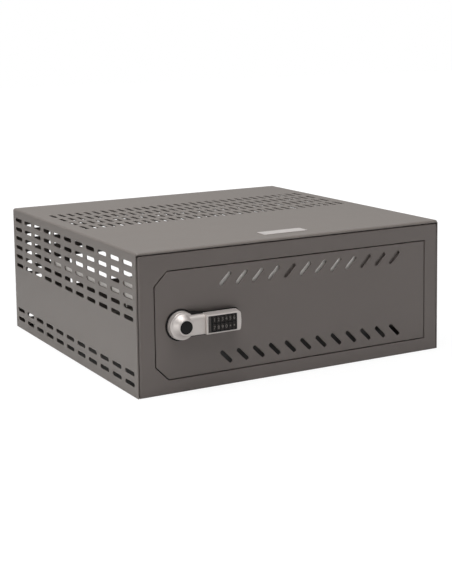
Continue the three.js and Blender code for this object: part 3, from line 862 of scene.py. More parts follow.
@dataclass
class Case(SubAssembly):
    """The folded sheets of the case, in millimetres."""

    width: float = 450.0
    depth: float = 432.0
    height: float = 178.0
    sheet: float = 1.5
    bend_radius: float = 3.5
    lip_radius: float = 3.3
    lip_gap: float = 1.0
    lap_inset: float = 1.8
    rim_inset: float = 2.5
    rim_depth: float = 6.0
    rim_edge: float = 2.45
    seam: float = 1.5
    lap_depth: float = 14.0
    vent_length: float = 27.5
    vent_width: float = 5.5
    vent_land: float = 4.0
    row_pitch: float = 13.45
    first_high: float = 15.5
    first_low: float = 14.6
    upper_rows: int = 6
    lower_rows: int = 2
    side_pitch: float = 38.5
    side_first: float = 24.6
    side_columns: int = 11
    top_pitch: float = 13.1
    top_columns: int = 32
    top_first: float = 210.0
    top_row_pitch: float = 38.1
    top_rows: int = 4
    shelf_set_back: float = 25.565
    shelf_drop: float = 7.5
    shelf_depth: float = 98.6
    shelf_end: float = 59.0
    shelf_rail: float = 30.0
    shelf_flange: float = 13.0
    shelf_lug: float = 27.0
    lug_length: float = 35.0
    shelf_lip: float = 8.0
    plate_box: Sequence[float] = (-32.5, 32.0, -191.0, -170.0)
    plate_thickness: float = 0.7
    shelf_corner: float = 10.0
    opening_edge: float = 0.8
    back_vent: float = 24.0
    back_pitch: float = 35.3
    back_columns: int = 12
    beside_pitch: float = 11.2
    cable_width: float = 276.0
    cable_low: float = 54.6
    cable_high: float = 99.1
    cable_corner: float = 3.0
    tray_flange: float = 10.0
    back_flange: float = 12.0
    bolt_radius: float = 3.25
    bolt_side: float = 50.0
    bolt_end: float = 60.0
    soft_edge: float = 0.3
    gap: float = 0.3

    @property
    def half(self) -> float:
        """Half the width."""
        return self.width / 2

    @property
    def front(self) -> float:
        """The depth of the front face."""
        return -self.depth / 2

    @property
    def back(self) -> float:
        """The depth of the back face."""
        return self.depth / 2

    @property
    def cover_front(self) -> float:
        """The depth of the front edges of the cover's sides."""
        return self.front + self.sheet

    @property
    def lap_front(self) -> float:
        """The depth that the pieces behind the front frame's rim start from."""
        return self.front + self.rim_depth + self.seam

    @property
    def lap_end(self) -> float:
        """The depth of the back edge of the front frame."""
        return self.lap_front + self.lap_depth

    @property
    def frame_top(self) -> float:
        """The height of the front frame, which ends under the cover's lip."""
        return self.height - self.lip_radius - self.lip_gap

    def high_rows(self) -> list[float]:
        """Returns the heights of the upper rows of vents."""
        return [self.height - self.first_high - i * self.row_pitch for i in range(self.upper_rows)]

    def low_rows(self) -> list[float]:
        """Returns the heights of the lower rows of vents."""
        return [self.first_low + i * self.row_pitch for i in range(self.lower_rows)]

    def side_places(self) -> list[Place]:
        """Returns the middles of the vents in a side, as depth and height."""
        depths = [self.front + self.side_first + i * self.side_pitch for i in range(self.side_columns)]
        return [(y, z) for z in self.high_rows() + self.low_rows() for y in depths]

    def top_places(self) -> list[Place]:
        """Returns the middles of the vents in the top."""
        depths = [self.front + self.top_first + i * self.top_row_pitch for i in range(self.top_rows)]
        return [(x, y) for y in depths for x in spread(self.top_columns, self.top_pitch)]

    def back_places(self) -> list[Place]:
        """Returns the middles of the vents in the back, which leave room for the cable opening.

        Returns:
            Pairs of the distance across and the height.
        """
        across = spread(self.back_columns, self.back_pitch)
        beside = self.cable_width / 2 + self.back_vent / 2 + self.vent_land
        above = self.cable_high + self.vent_width / 2 + self.vent_land
        rows = [self.first_low] + self.high_rows()[1:]
        places = [(x, z) for z in rows for x in across if z > above or abs(x) > beside]
        for row in (1, 2):
            height = self.high_rows()[-1] - row * self.beside_pitch
            places += [(across[0], height), (across[-1], height)]
        return places

    def keep_tabs(self, pan: Shape, y0: float, y1: float, top: float) -> Shape:
        """Cuts the side flanges of a pan down to tabs in the plain band between the two groups of vents.

        Args:
            pan: the pan.
            y0: the depth that the cut starts from.
            y1: the depth that it ends at.
            top: the pan's height.

        Returns:
            The pan.
        """
        reach = self.vent_width / 2 + self.vent_land
        low, high = self.low_rows()[-1] + reach, self.high_rows()[-1] - reach
        floor_edge = self.lap_inset + self.sheet
        inner = self.half - self.lap_inset - self.sheet - 1.0
        waste = Shape()
        for x0, x1 in ((-self.half - 1, -inner), (inner, self.half + 1)):
            waste.box(x0, x1, y0, y1, floor_edge, low)
            waste.box(x0, x1, y0, y1, high, top - self.sheet)
        return pan.cut(waste)

    def cover(self) -> Shape:
        """Returns the cover: top and both sides, bent from one sheet, with a narrow lip along the top's front.

        Returns:
            The cover.
        """
        flat, wall_top = self.half - self.bend_radius, self.height - self.bend_radius
        lip_start = self.front + self.lip_radius
        cover = Shape().rectangle(-flat, flat, lip_start, self.back)
        cover.slots(self.top_places(), self.vent_length, self.vent_width, 90.0)
        cover.plate().place(Facing.TOP, self.height)
        lip = cover.border(lambda p: abs(p.y - lip_start) < TINY)
        cover.bend(lip, (0, lip_start, self.height - self.lip_radius), (1, 0, 0), 90.0)
        for facing, side in ((Facing.LEFT, -1), (Facing.RIGHT, 1)):
            low, high = (self.back, 0.0), (self.back, wall_top)
            wall = Shape().polygon(
                [(self.cover_front, 0.0), low, high, (lip_start, wall_top), (self.cover_front, wall_top)]
            )
            wall.slots(self.side_places(), self.vent_length, self.vent_width)
            cover.add(wall.plate().place(facing, side * self.half))
            edge = cover.border(lambda p, s=side: abs(p.x - s * flat) < TINY and p.z > wall_top)
            cover.bend(edge, (side * flat, 0, wall_top), (0, 1, 0), side * 90.0)
        cover.face_outwards(lambda p: p.z > self.height - TINY)
        clear = self.front + 2 * self.lip_radius

        def off_corners(p: Vector) -> bool:
            """Tells whether a point is away from the corners where the lip meets the sides."""
            return p.y > clear or abs(p.x) < flat - 1.0 or p.z < wall_top - 1.0

        return cover.thicken(self.sheet).round_edges(self.soft_edge, 1, 35.0, off_corners)

    def tray(self) -> Shape:
        """Returns the base tray, with flanges turned up inside the cover and holes to bolt it down.

        Returns:
            The tray.
        """
        half = self.half - self.lap_inset
        tray = Shape().rectangle(-half, half, self.lap_front, self.back)
        for x in (-self.half + self.bolt_side, self.half - self.bolt_side):
            for y in (self.front + self.bolt_end, self.back - self.bolt_end):
                tray.circle(x, y, self.bolt_radius, 20)
        tray.plate().between(Facing.BOTTOM, 0.0, self.sheet)
        y0, y1 = self.lap_end + self.gap, self.back - self.back_flange - self.gap
        for x0, x1 in ((-half, -half + self.sheet), (half - self.sheet, half)):
            tray.join(Shape().box(x0, x1, y0, y1, self.sheet / 2, self.tray_flange))
        return tray.round_edges(self.soft_edge, 2)

    def back_panel(self) -> Shape:
        """Returns the back: a shallow pan with its vents and the cable opening.

        Returns:
            The back.
        """
        half, top = self.half - self.lap_inset, self.height - self.lap_inset
        pan = Shape().rectangle(-half, half, self.lap_inset, top)
        pan.round_corners(lambda p: p.y > top - TINY, self.bend_radius - self.lap_inset, 3)
        cable = self.cable_width / 2
        pan.rectangle(-cable, cable, self.cable_low, self.cable_high, self.cable_corner)
        pan.slots(self.back_places(), self.back_vent, self.vent_width)
        pan.plate().place(Facing.BACK, self.back)
        outline = pan.border(lambda p: abs(p.x) > half - 1.3 or p.z < self.lap_inset + TINY or p.z > top - TINY)
        pan.pull(outline, (0, -self.back_flange, 0))
        pan.face_outwards(lambda p: p.y > self.back - TINY, (0, 1, 0))
        pan.thicken(self.sheet)
        self.keep_tabs(pan, self.back - self.back_flange - 1.0, self.back - 2 * self.sheet, top)
        return pan.round_edges(self.soft_edge, 1)

    def shelf(self, front: float) -> Shape:
        """Returns the inner shelf: flat at the front and a rail along each side behind that.

        Args:
            front: the depth of its front edge.

        Returns:
            The shelf.
        """
        top, half, end = self.high_rows()[3] - self.shelf_drop, self.half - self.lap_inset, self.shelf_end
        low, inner = top - self.sheet, self.half - self.lap_inset - self.shelf_rail
        plate = Shape().rectangle(-half, half, front, end).plate().between(Facing.TOP, top, low)
        cutout = Shape().rectangle(-inner, inner, front + self.shelf_depth, end + 20.0, self.shelf_corner, 8)
        plate.cut(cutout.between(Facing.TOP, top + 1.0, low - 1.0))
        start, rail_top, lug_top = self.lap_front + self.gap, top + self.shelf_flange, top + self.shelf_lug
        lug_end = start + self.lug_length
        for x0, x1 in ((-half, -half + self.sheet), (half - self.sheet, half)):
            flange = Shape().polygon(
                [(start, low), (end, low), (end, rail_top), (lug_end, rail_top), (lug_end, lug_top), (start, lug_top)]
            )
            plate.join(flange.between(Facing.RIGHT, x0, x1))
        plate.join(Shape().box(-half, half, front, front + self.sheet, top - self.shelf_lip, top))
        return plate.round_edges(self.soft_edge, 2)

    def section(self, side: float, bottom: float, inset: float, start: float, end: float) -> Shape:
        """Returns a solid with the front frame's outline.

        Args:
            side: how far its sides stand in from the case's.
            bottom: its height over the case's bottom.
            inset: how far the outline is drawn in all round.
            start: the depth that it starts from.
            end: the depth that it ends at.

        Returns:
            The solid.
        """
        half, top = self.half - side - inset, self.frame_top - inset
        shape = Shape().rectangle(-half, half, bottom + inset, top)
        shape.round_corners(lambda p: p.y > top - TINY, self.bend_radius - inset, 5)
        return shape.between(Facing.FRONT, start, end)

    def frame(self, door: Door) -> Shape:
        """Returns the front frame: rounded rim, step out to the cover, folded opening edge and door stop.

        Args:
            door: the door that its opening takes.

        Returns:
            The frame.
        """
        face, lap = self.front, self.lap_inset
        step = face + self.rim_depth - self.sheet
        frame = self.section(self.rim_inset, 0.0, 0.0, face, face + self.rim_depth)
        frame.round_edges(self.rim_edge, 5, 35.0, lambda p: p.y < face + TINY)
        frame.join(self.section(lap, lap, 0.0, step, self.lap_end))
        frame.cut(self.section(self.rim_inset, 0.0, self.sheet, face + self.sheet, step + 0.05))
        frame.cut(self.section(lap, lap, self.sheet, step, self.lap_end + 1.0))
        self.keep_tabs(frame, self.lap_front, self.lap_end + 1.0, self.frame_top)
        frame.join(door.slab(door.gap + self.sheet, face + self.sheet / 2, face + door.opening_fold))
        frame.cut(door.slab(door.gap, face - 1.0, face + door.opening_fold + 1.0))
        frame.round_edges(self.opening_edge, 3, 35.0, lambda p: p.y < face + TINY)
        frame.join(door.stop_outline(face))
        frame.cut(door.pin_holes())
        return frame.round_edges(0.25, 1, 60.0)

    def name_plate(self) -> Shape:
        """Returns the bare bright plate on the top, near the front."""
        plate = Shape().rectangle(*self.plate_box, 1.5)
        return plate.between(Facing.TOP, self.height + self.plate_thickness, self.height).round_edges(0.25, 2)

    def build(self, door: Door) -> None:
        """Builds and places the case's pieces.

        Args:
            door: the door that the front frame's opening takes.
        """
        shelf = self.shelf(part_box("inner_shelf")[0].y / MM + self.shelf_set_back)
        for shape, name, slot, node, finish in (
            (self.cover(), "cover_sheet", "case_coat", "wrap_cover", CASE_COAT),
            # The tray's darkened coat is painted shade for the inside of the case.
            (self.tray(), "tray_sheet", "case_coat", "base_tray", SHADED_INNER_COAT),
            (self.back_panel(), "back_sheet", "case_coat", "back_panel", CASE_COAT),
            (shelf, "shelf_sheet", "zinc", "inner_shelf", GALVANISED),
            # The frame's darkened coat is painted shade for the front face.
            (self.frame(door), "frame_sheet", "front_coat", "front_frame", SHADED_FRONT_COAT),
            (self.name_plate(), "bare_plate", "zinc", None, BARE_ALUMINIUM),
        ):
            self.fit(shape, name, "case", slot, node, finish)


@dataclass
class Door(SubAssembly):
    """The door with its hinge pins, in millimetres."""

    left: float = -200.9
    right: float = 201.0
    bottom: float = 18.7
    top: float = 151.3
    corner: float = 17.0
    gap: float = 1.2
    sheet: float = 2.0
    fold: float = 12.0
    edge: float = 0.9
    opening_fold: float = 13.8
    stop_lip: float = 10.0
    frame_sheet: float = 1.5
    front: float = -216.0
    slot_length: float = 21.8
    slot_width: float = 5.4
    slot_pitch: float = 23.32
    slot_first: float = 96.4
    slot_inset: float = 17.2
    slot_count: int = 12
    strip_half: float = 10.5
    strip_sheet: float = 0.8
    strip_gap: float = 0.8
    strip_stand: float = 1.0
    lock_x: float = -168.0
    lock_z: float = 84.3
    lock_hole: float = 9.31
    hinge_x: float = 177.0
    hinge_y: float = -209.5
    pin_radius: float = 2.0
    pin_head: float = 3.6
    pin_clearance: float = 0.2

    def outline(self, grow: float) -> list[Place]:
        """Returns the door's outline, grown by an offset: its two left corners are cut at 45 degrees.

        Args:
            grow: how far the outline lies outside the door.

        Returns:
            Its corners, from the lower left anticlockwise.
        """
        left, right = self.left - grow, self.right + grow
        bottom, top = self.bottom - grow, self.top + grow
        corner = self.corner + grow * (2 - math.sqrt(2))
        cut = [(left + corner, top), (left, top - corner), (left, bottom + corner)]
        return [(left + corner, bottom), (right, bottom), (right, top), *cut]

    def slab(self, grow: float, start: float, end: float) -> Shape:
        """Returns a solid with the door's outline, grown by an offset, between two depths."""
        return Shape().polygon(self.outline(grow)).between(Facing.FRONT, start, end)

    def slot_places(self, height: float) -> list[Place]:
        """Returns the middles of one row of slots."""
        return [(self.left + self.slot_first + i * self.slot_pitch, height) for i in range(self.slot_count)]

    def stop_outline(self, front: float) -> Shape:
        """Returns the door stop: a strip behind the door's left edge, which joins the folded opening edge.

        Args:
            front: the depth of the case's front face.

        Returns:
            The door stop, part of the front frame.
        """
        *_, (left, cut_top), (_, cut_bottom) = self.outline(self.gap + 0.6)
        inner = self.left + self.stop_lip
        drop = inner - left
        far = [(inner, cut_bottom - drop), (inner, cut_top + drop)]
        back = front + self.opening_fold
        strip = Shape().polygon([(left, cut_bottom), *far, (left, cut_top)])
        return strip.between(Facing.FRONT, back, back - self.frame_sheet)

    def pin_holes(self) -> Shape:
        """Returns the two round bars that the hinge pins' holes are cut with.

        Returns:
            The two bars.
        """
        radius = self.pin_radius + self.pin_clearance
        holes = Shape()
        for low, high in ((self.bottom - 6, self.bottom + 4), (self.top - 4, self.top + 6)):
            holes.bar(radius, (self.hinge_x, self.hinge_y, low), (self.hinge_x, self.hinge_y, high), 24)
        return holes

    def panel(self) -> Shape:
        """Returns the door: a pan with folded edges, two rows of slanted slots and its holes.

        Returns:
            The door.
        """
        pan = Shape().polygon(self.outline(0.0))
        pan.slots(self.slot_places(self.top - self.slot_inset), self.slot_length, self.slot_width, 45.0)
        pan.slots(self.slot_places(self.bottom + self.slot_inset), self.slot_length, self.slot_width, -45.0)
        pan.circle(self.lock_x, self.lock_z, self.lock_hole, 40)
        pan.plate().place(Facing.FRONT, self.front)

        def on_rim(p: Vector) -> bool:
            """Tells whether a point is on the door's outline."""
            cut = min(p.z - self.bottom, self.top - p.z) + (p.x - self.left) - self.corner
            return min(p.x - self.left, self.right - p.x, p.z - self.bottom, self.top - p.z, cut) < 1.0

        pan.pull(pan.border(on_rim), (0, self.fold, 0))
        pan.face_outwards(lambda p: p.y < self.front + TINY, (0, -1, 0))
        pan.round_edges(self.edge, 3, 35.0, on_rim)
        pan.thicken(self.sheet)
        pan.cut(self.pin_holes())
        return pan.round_edges(0.3, 1, 55.0)

    def slot_strip(self, first: int, last: int) -> Shape:
        """Returns a thin strip on the door's inside, behind some of the upper slots.

        Args:
            first: the first slot that it covers, counted from 0.
            last: the last one.

        Returns:
            The strip, which stands off the door on its folded edges.
        """
        height, inside = self.top - self.slot_inset, self.front + self.sheet
        places, reach = self.slot_places(height), self.slot_pitch / 2 - self.strip_gap
        left, right = places[first][0] - reach, places[last][0] + reach
        half, sheet, front = self.strip_half, self.strip_sheet, inside + self.strip_stand
        strip = Shape().box(left, right, front, front + sheet, height - half, height + half)
        for low in (height - half, height + half - sheet):
            strip.join(Shape().box(left, right, inside, front + sheet / 2, low, low + sheet))
        return strip.round_edges(0.15, 1)

    def pin(self, seat: float, grip: float) -> Shape:
        """Returns a hinge pin, whose head rests on the upper of the two folded edges that it joins.

        Args:
            seat: the height that the head rests at.
            grip: the thickness that it passes through.

        Returns:
            The pin.
        """
        head = seat + 0.3
        x, y = self.hinge_x, self.hinge_y
        pin = Shape().bar(self.pin_radius, (x, y, seat - grip - 1.5), (x, y, head + 0.5))
        pin.join(Shape().bar(self.pin_head, (x, y, head), (x, y, head + 1.5)))
        return pin.round_edges(0.35, 2, 50.0)

    def build(self, nodes: dict[str, bpy.types.Object]) -> None:
        """Builds and places the door's pieces.

        Args:
            nodes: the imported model's nodes by name.
        """
        grip = self.sheet + self.gap + self.frame_sheet
        upper, lower = self.top + self.gap + self.frame_sheet, self.bottom + self.sheet
        for shape, name, body, slot, node, finish in (
            # The door's darkened coat is painted shade for the front face.
            (self.panel(), "door_sheet", "door", "front_coat", "door_panel", SHADED_FRONT_COAT),
            (self.slot_strip(0, 3), "pale_strip_left", "door", "zinc", None, PALE_ZINC),
            (self.slot_strip(5, 8), "pale_strip_right", "door", "zinc", None, PALE_ZINC),
            (self.slot_strip(4, 4), "painted_strip_left", "door", "front_coat", None, SHADED_FRONT_COAT),
            (self.slot_strip(9, 11), "painted_strip_right", "door", "front_coat", None, SHADED_FRONT_COAT),
            (self.pin(upper, grip), "upper_pin", "case", "zinc", "hinge_pin_upper", ZINC_PLATE),
            (self.pin(lower, grip), "lower_pin", "door", "zinc", "hinge_pin_lower", ZINC_PLATE),
        ):
            self.fit(shape, name, body, slot, node, finish)
        self.dress(nodes["hinge_thrust_washer"], NYLON)


@dataclass
class Lock(SubAssembly):
    """The lever lock, drawn about its own axis with the door's front face at y = 0, in millimetres."""

    axis: Sequence[float] = (-168.0, -216.0, 84.3)
    rose_radius: float = 18.6
    rose_height: float = 4.5
    disc_inset: float = 0.9
    gasket_height: float = 1.3
    gasket_lip: float = 1.2
    lock_clear: float = 9.4
    barrel_radius: float = 9.01
    barrel_bore: float = 6.31
    barrel_end: float = 14.5
    hub_radius: float = 17.2
    rim_height: float = 9.0
    rim_round: float = 1.1
    cone: Sequence[Place] = ((0.12, 0.015), (0.3, 0.13), (0.5, 0.31), (0.7, 0.52), (0.86, 0.7), (0.95, 0.84))
    collar_radius: float = 10.0
    collar_bore: float = 8.4
    hub_height: float = 17.6
    cap_seat: float = 2.0
    neck_height: float = 24.8
    neck_front: float = 14.0
    neck_edge: float = 6.5
    neck_lower_edge: float = 2.5
    housing_start: float = 27.5
    housing_end: float = 76.0
    housing_height: float = 26.5
    housing_bow: float = 1.2
    lever_back: float = 4.8
    housing_back: float = 7.3
    # How far the back cover rises at the hub: a black wedge of painted shadow.
    painted_shadow_rise: float = 2.2
    housing_front: float = 17.2
    window_left: float = 29.8
    window_right: float = 69.8
    window_half: float = 10.3
    window_middle: float = -0.5
    front_share: float = 0.883
    cover_lip: float = 1.3
    cover_corner: float = 4.5
    root_start: float = 8.0
    root_slope: float = 7.0
    root_lap: float = 4.0
    housing_edge: float = 0.8
    window_depth: float = 4.8
    bay_length: float = 39.0
    bay_height: float = 22.0
    bay_depth: float = 6.0
    key_strip: float = 4.0
    plate_depth: float = 1.5
    key_columns: int = 6
    key_pitch_x: float = 5.45
    key_pitch_z: float = 9.6
    key_width: float = 4.05
    key_height: float = 7.6
    key_proud: float = 0.5
    key_lip: float = 0.45
    key_flange: float = 0.8
    key_clear: float = 0.25
    number_size: float = 6.2
    dot_radius: float = 0.9
    spindle_side: float = 8.0
    cam_front: float = 14.8
    cam_length: float = 41.9
    cam_width: float = 18.0
    cam_thickness: float = 3.0
    cam_corner: float = 6.0
    nut_wall: float = 4.5
    nut_front: float = 4.1
    nut_back: float = 9.1
    nut_washer: Sequence[float] = (13.0, 9.31, 2.3, 1.5)
    cam_washer: Sequence[float] = (7.0, 2.8, 18.1, 1.2)
    bolt_radius: float = 2.2
    bolt_flats: float = 8.0
    bolt_tip: float = 10.8
    bolt_front: float = 19.6
    bolt_back: float = 23.1

    def rose(self) -> Shape:
        """Returns the fixed rose with the barrel that passes through the door.

        Returns:
            The rose.
        """
        r, h, low = self.rose_radius - self.disc_inset, self.rose_height, self.gasket_height
        rose = Shape().turned([(0, low), (r, low), (r, h - 0.3), (r - 0.3, h), (0, h)], 96)
        rose.join(Shape().axle(self.barrel_radius, -low - 0.3, self.barrel_end, 64))
        rose.cut(Shape().axle(self.barrel_bore, -h - 1, self.barrel_end + 1))
        return rose.round_edges(0.15, 2, 50.0)

    def gasket(self) -> Shape:
        """Returns the black gasket between the rose and the door, which stands out a little all round."""
        bore, r, h = self.lock_clear, self.rose_radius + self.gasket_lip, self.gasket_height
        return Shape().turned([(bore, 0.1), (r, 0.1), (r, h - 0.5), (r - 0.4, h), (bore, h)], 96)

    def hub(self) -> Shape:
        """Returns the conical hub of the lever.

        Returns:
            The hub, from its rim to its collar.
        """
        r, round_off, rim_height = self.hub_radius, self.rim_round, self.rim_height
        foot = r - round_off
        rise, run = self.hub_height - rim_height, foot - self.collar_radius
        turns = [math.radians(a) for a in (90, 67.5, 45, 22.5, 0)]
        rim = [(foot + round_off * math.sin(a), rim_height - round_off + round_off * math.cos(a)) for a in turns]
        cone = [(foot - share * run, rim_height + lift * rise) for share, lift in self.cone]
        collar = [(self.collar_radius, self.hub_height - 0.4), (self.collar_radius - 0.35, self.hub_height)]
        start, end = [(0, self.lever_back), (r, self.lever_back)], (0, self.hub_height)
        return Shape().turned([*start, *rim, *cone, *collar, end], 96)

    def neck(self) -> Shape:
        """Returns the neck between hub and housing, with its two front edges rounded, the upper one widely.

        Returns:
            The neck, which reaches into hub and housing.
        """
        half, front = self.neck_height / 2, -self.neck_front + TINY
        neck = Shape().rectangle(-self.neck_front, -self.housing_back, -half, half)
        neck.round_corners(lambda p: p.x < front and p.y > 0, self.neck_edge, 10)
        neck.round_corners(lambda p: p.x < front and p.y < 1 - half, self.neck_lower_edge, 5)
        return neck.between(Facing.RIGHT, 0.0, self.housing_start + 1.6)

    def housing_outline(self, corner: float = 2.2, grow: float = 0.0) -> Shape:
        """Draws the keypad housing's outline, whose far end is slightly bowed.

        Args:
            corner: the radius of the far corners.
            grow: how far the outline is grown to the top, the bottom and the far end.

        Returns:
            The outline, flat.
        """
        half = self.housing_height / 2 + grow
        end, bow = self.housing_end + grow, self.housing_bow
        bowed = [(end - bow * (i / 4) ** 2, half * i / 4) for i in range(-4, 5)]
        outline = Shape().polygon([(self.housing_start, -half), *bowed, (self.housing_start, half)])
        outline.round_corners(lambda p: p.x > end - bow - TINY and abs(p.y) > half - TINY, corner, 5)
        outline.round_corners(lambda p: p.x < self.housing_start + TINY, 1.1, 4)
        return outline

    def housing(self) -> Shape:
        """Returns the keypad housing, as far back as its cover, with its top and bottom drawn in to the front.

        Returns:
            The housing, solid.
        """
        housing = self.housing_outline().between(Facing.FRONT, -self.housing_back, -self.housing_front)
        draw_in = Matrix.Translation((0, 0, self.window_middle)) @ Matrix.Diagonal((1, 1, self.front_share, 1))
        face = [v for v in housing.bm.verts if v.co.y < -self.housing_front + TINY]
        bmesh.ops.transform(housing.bm, matrix=draw_in, verts=face)
        return housing

    def window(self, inset: float) -> Sequence[float]:
        """Returns the keypad window's left, right, bottom and top, drawn in by a distance.

        Args:
            inset: that distance.

        Returns:
            The four distances.
        """
        half = self.window_half - inset
        low, high = self.window_middle - half, self.window_middle + half
        return self.window_left + inset, self.window_right - inset, low, high

    def lever(self) -> Shape:
        """Returns the lever casting with its seats.

        Returns:
            The casting.
        """
        face, back = -self.housing_front, -self.lever_back
        housing = self.housing().round_edges(self.housing_edge, 3, 50.0, lambda p: p.y < face + TINY)
        lever = self.hub().join(self.neck()).join(housing)
        lever.cut(Shape().axle(self.collar_bore, -self.hub_height - 1, -self.hub_height + self.cap_seat, 96))
        side = self.spindle_side / 2 + 0.3
        lever.cut(Shape().box(-side, side, back - 8, back + 1, -side, side))
        window = Shape().rectangle(*self.window(0.0), 1.0, 4)
        lever.cut(window.between(Facing.FRONT, face - 1, face + self.window_depth))
        middle, half_x, half_z = (self.window_left + self.window_right) / 2, self.bay_length / 2, self.bay_height / 2
        bay = Shape().rectangle(middle - half_x, middle + half_x, -half_z, half_z, 2.0, 5)
        lever.cut(bay.between(Facing.FRONT, back - self.bay_depth, back + 1))

        def softened(p: Vector) -> bool:
            """Tells whether an edge is rounded: not the hub's, and not where neck, housing and cover meet."""
            joint = abs(p.x - self.housing_start) < 2.5 and abs(p.z) > self.housing_height / 2 - 4.5
            return math.hypot(p.x, p.z) > self.hub_radius + 0.5 and not joint

        return lever.round_edges(0.35, 2, 38.0, softened)

    def cap(self) -> Shape:
        """Returns the black cap in the collar, with a low dome.

        Returns:
            The cap.
        """
        radius, base, high = self.collar_bore - 0.3, self.hub_height - self.cap_seat + 0.3, 0.5
        turns = [math.radians(a) for a in (0, 15, 30, 45, 60, 75)]
        dome = [(radius * math.cos(a), self.hub_height + high * math.sin(a)) for a in turns]
        return Shape().turned([(0, base), (radius, base), *dome, (0, self.hub_height + high)])

    def key_places(self) -> list[Place]:
        """Returns the middles of the keys, row by row from the top left."""
        middle, z = (self.window_left + self.window_right + self.key_strip) / 2, self.key_pitch_z / 2
        return [(middle + x, row) for row in (z, -z) for x in spread(self.key_columns, self.key_pitch_x)]

    def keypad_plate(self) -> Shape:
        """Returns the black plate with a window for each key and a paler strip beside them, whose grey is painted sheen
        for the window's sloped left edge.

        Returns:
            The plate, with its strip in the second finish.
        """
        face, outline = -self.housing_front, self.window(0.3)
        left, _, low, high = outline
        plate = Shape().rectangle(*outline, 0.7)
        x, z = self.key_width / 2 + self.key_clear, self.key_height / 2 + self.key_clear
        for kx, kz in self.key_places():
            plate.rectangle(kx - x, kx + x, kz - z, kz + z, 0.6, 2)
        plate.plate().between(Facing.FRONT, face, face + self.plate_depth).round_edges(0.15, 1)
        # The strip's grey is painted sheen for the window's sloped left edge.
        strip = Shape().rectangle(left + 0.3, left + self.key_strip - 0.6, low + 0.4, high - 0.4, 0.4, 3)
        return plate.add(strip.between(Facing.FRONT, face - 0.25, face + 0.25).round_edges(0.15, 1), 1)

    def key(self, place: Place, mark: str) -> Shape:
        """Returns a key with its number.

        Args:
            place: the key's middle.
            mark: the number, or an empty string for a key with a plain dot.

        Returns:
            The key, with its number or dot in the second finish.
        """
        x, z = place
        w, h, lip = self.key_width / 2, self.key_height / 2, self.key_lip
        top, seat = -self.housing_front - self.key_proud, -self.housing_front + self.plate_depth + 0.3
        back = seat + self.key_flange
        key = Shape().rectangle(x - w, x + w, z - h, z + h, 0.6, 4).between(Facing.FRONT, top, back)
        key.round_edges(0.3, 3, 50.0, lambda p: p.y < top + TINY)
        flange = Shape().rectangle(x - w - lip, x + w + lip, z - h - lip, z + h + lip, 0.6, 2)
        key.join(flange.between(Facing.FRONT, seat, back))
        if mark:
            printed = self.number(mark).place(Facing.FRONT, top).move((x, 0, z))
        else:
            printed = Shape().circle(x, z, self.dot_radius, 20).between(Facing.FRONT, top - 0.05, top + 0.05)
        return key.add(printed, 1)

    def number(self, mark: str) -> Shape:
        """Returns a number as a thin layer of paint, drawn flat about its middle.

        Args:
            mark: the number.

        Returns:
            The paint.
        """
        curve = bpy.data.curves.new("mark", "FONT")
        curve.body, curve.size, curve.extrude, curve.resolution_u = mark, self.number_size, 0.05, 3
        curve.align_x, curve.align_y = "CENTER", "CENTER"
        painted = Shape().take(link("mark", curve))
        bpy.data.curves.remove(curve)
        low, high = [Vector([pick(v.co[i] for v in painted.verts) for i in range(3)]) for pick in (min, max)]
        return painted.move(-(low + high) / 2).weld(1e-4)

    def back_cover(self) -> Shape:
        """Returns the black cover over the back of the housing and the neck. Where it meets the hub it rises a little
        higher, as a black wedge that is painted shadow.

        Returns:
            The cover.
        """
        front, back = -self.housing_back + 0.1, -self.lever_back
        cover = self.housing_outline(self.cover_corner, self.cover_lip).between(Facing.FRONT, front, back)
        half = self.housing_height / 2 + self.cover_lip
        # The rise at the hub is painted shadow, black where the lever's shadow falls on the door.
        left, right, high = self.root_start, self.housing_start + self.root_lap, half + self.painted_shadow_rise
        bend = left + self.root_slope
        root = Shape().polygon([(left, -half), (right, -half), (right, half), (bend, high), (left, high)])
        cover.join(root.between(Facing.FRONT, front, back))
        cover.cut(Shape().axle(self.hub_radius + 0.1, front - 1, back + 1, 96))
        return cover.round_edges(0.3, 2, 50.0)

    def nut(self) -> Shape:
        """Returns the hexagonal nut that clamps the rose.

        Returns:
            The nut.
        """
        front, back = self.nut_front, self.nut_back
        nut = Shape().axle((self.barrel_radius + self.nut_wall) * 2 / math.sqrt(3), front, back, 6)
        return nut.cut(Shape().axle(self.barrel_radius + 0.3, front - 1, back + 1)).round_edges(0.4, 2)

    def ring(self, outer: float, inner: float, front: float, thickness: float) -> Shape:
        """Returns a flat ring on the lock's axis.

        Args:
            outer: its outer radius.
            inner: its bore's radius.
            front: the depth of its front face.
            thickness: its thickness.
        """
        back = front + thickness
        return Shape().turned([(inner, -front), (outer, -front), (outer, -back), (inner, -back)]).round_edges(0.2, 2)

    def cam(self) -> Shape:
        """Returns the cam tongue, with a square eye on the spindle and a rounded end.

        Returns:
            The cam tongue.
        """
        half, front, side = self.cam_width / 2, self.cam_front, self.spindle_side / 2 + 0.3
        cam = Shape().rectangle(-half, half, -half, self.cam_length)
        cam.round_corners(lambda p: p.y < 0, half, 12)
        cam.round_corners(lambda p: p.y > self.cam_length - TINY, self.cam_corner, 8)
        cam.between(Facing.FRONT, front, front + self.cam_thickness)
        return cam.cut(Shape().box(-side, side, front - 1, front + 5, -side, side)).round_edges(0.35, 2)

    def cam_bolt(self) -> Shape:
        """Returns the bolt that holds the cam."""
        bolt = Shape().axle(self.bolt_flats / math.sqrt(3), self.bolt_front, self.bolt_back, 6).round_edges(0.35, 2)
        return bolt.join(Shape().axle(self.bolt_radius, self.bolt_tip, self.bolt_front + 0.9, 24))

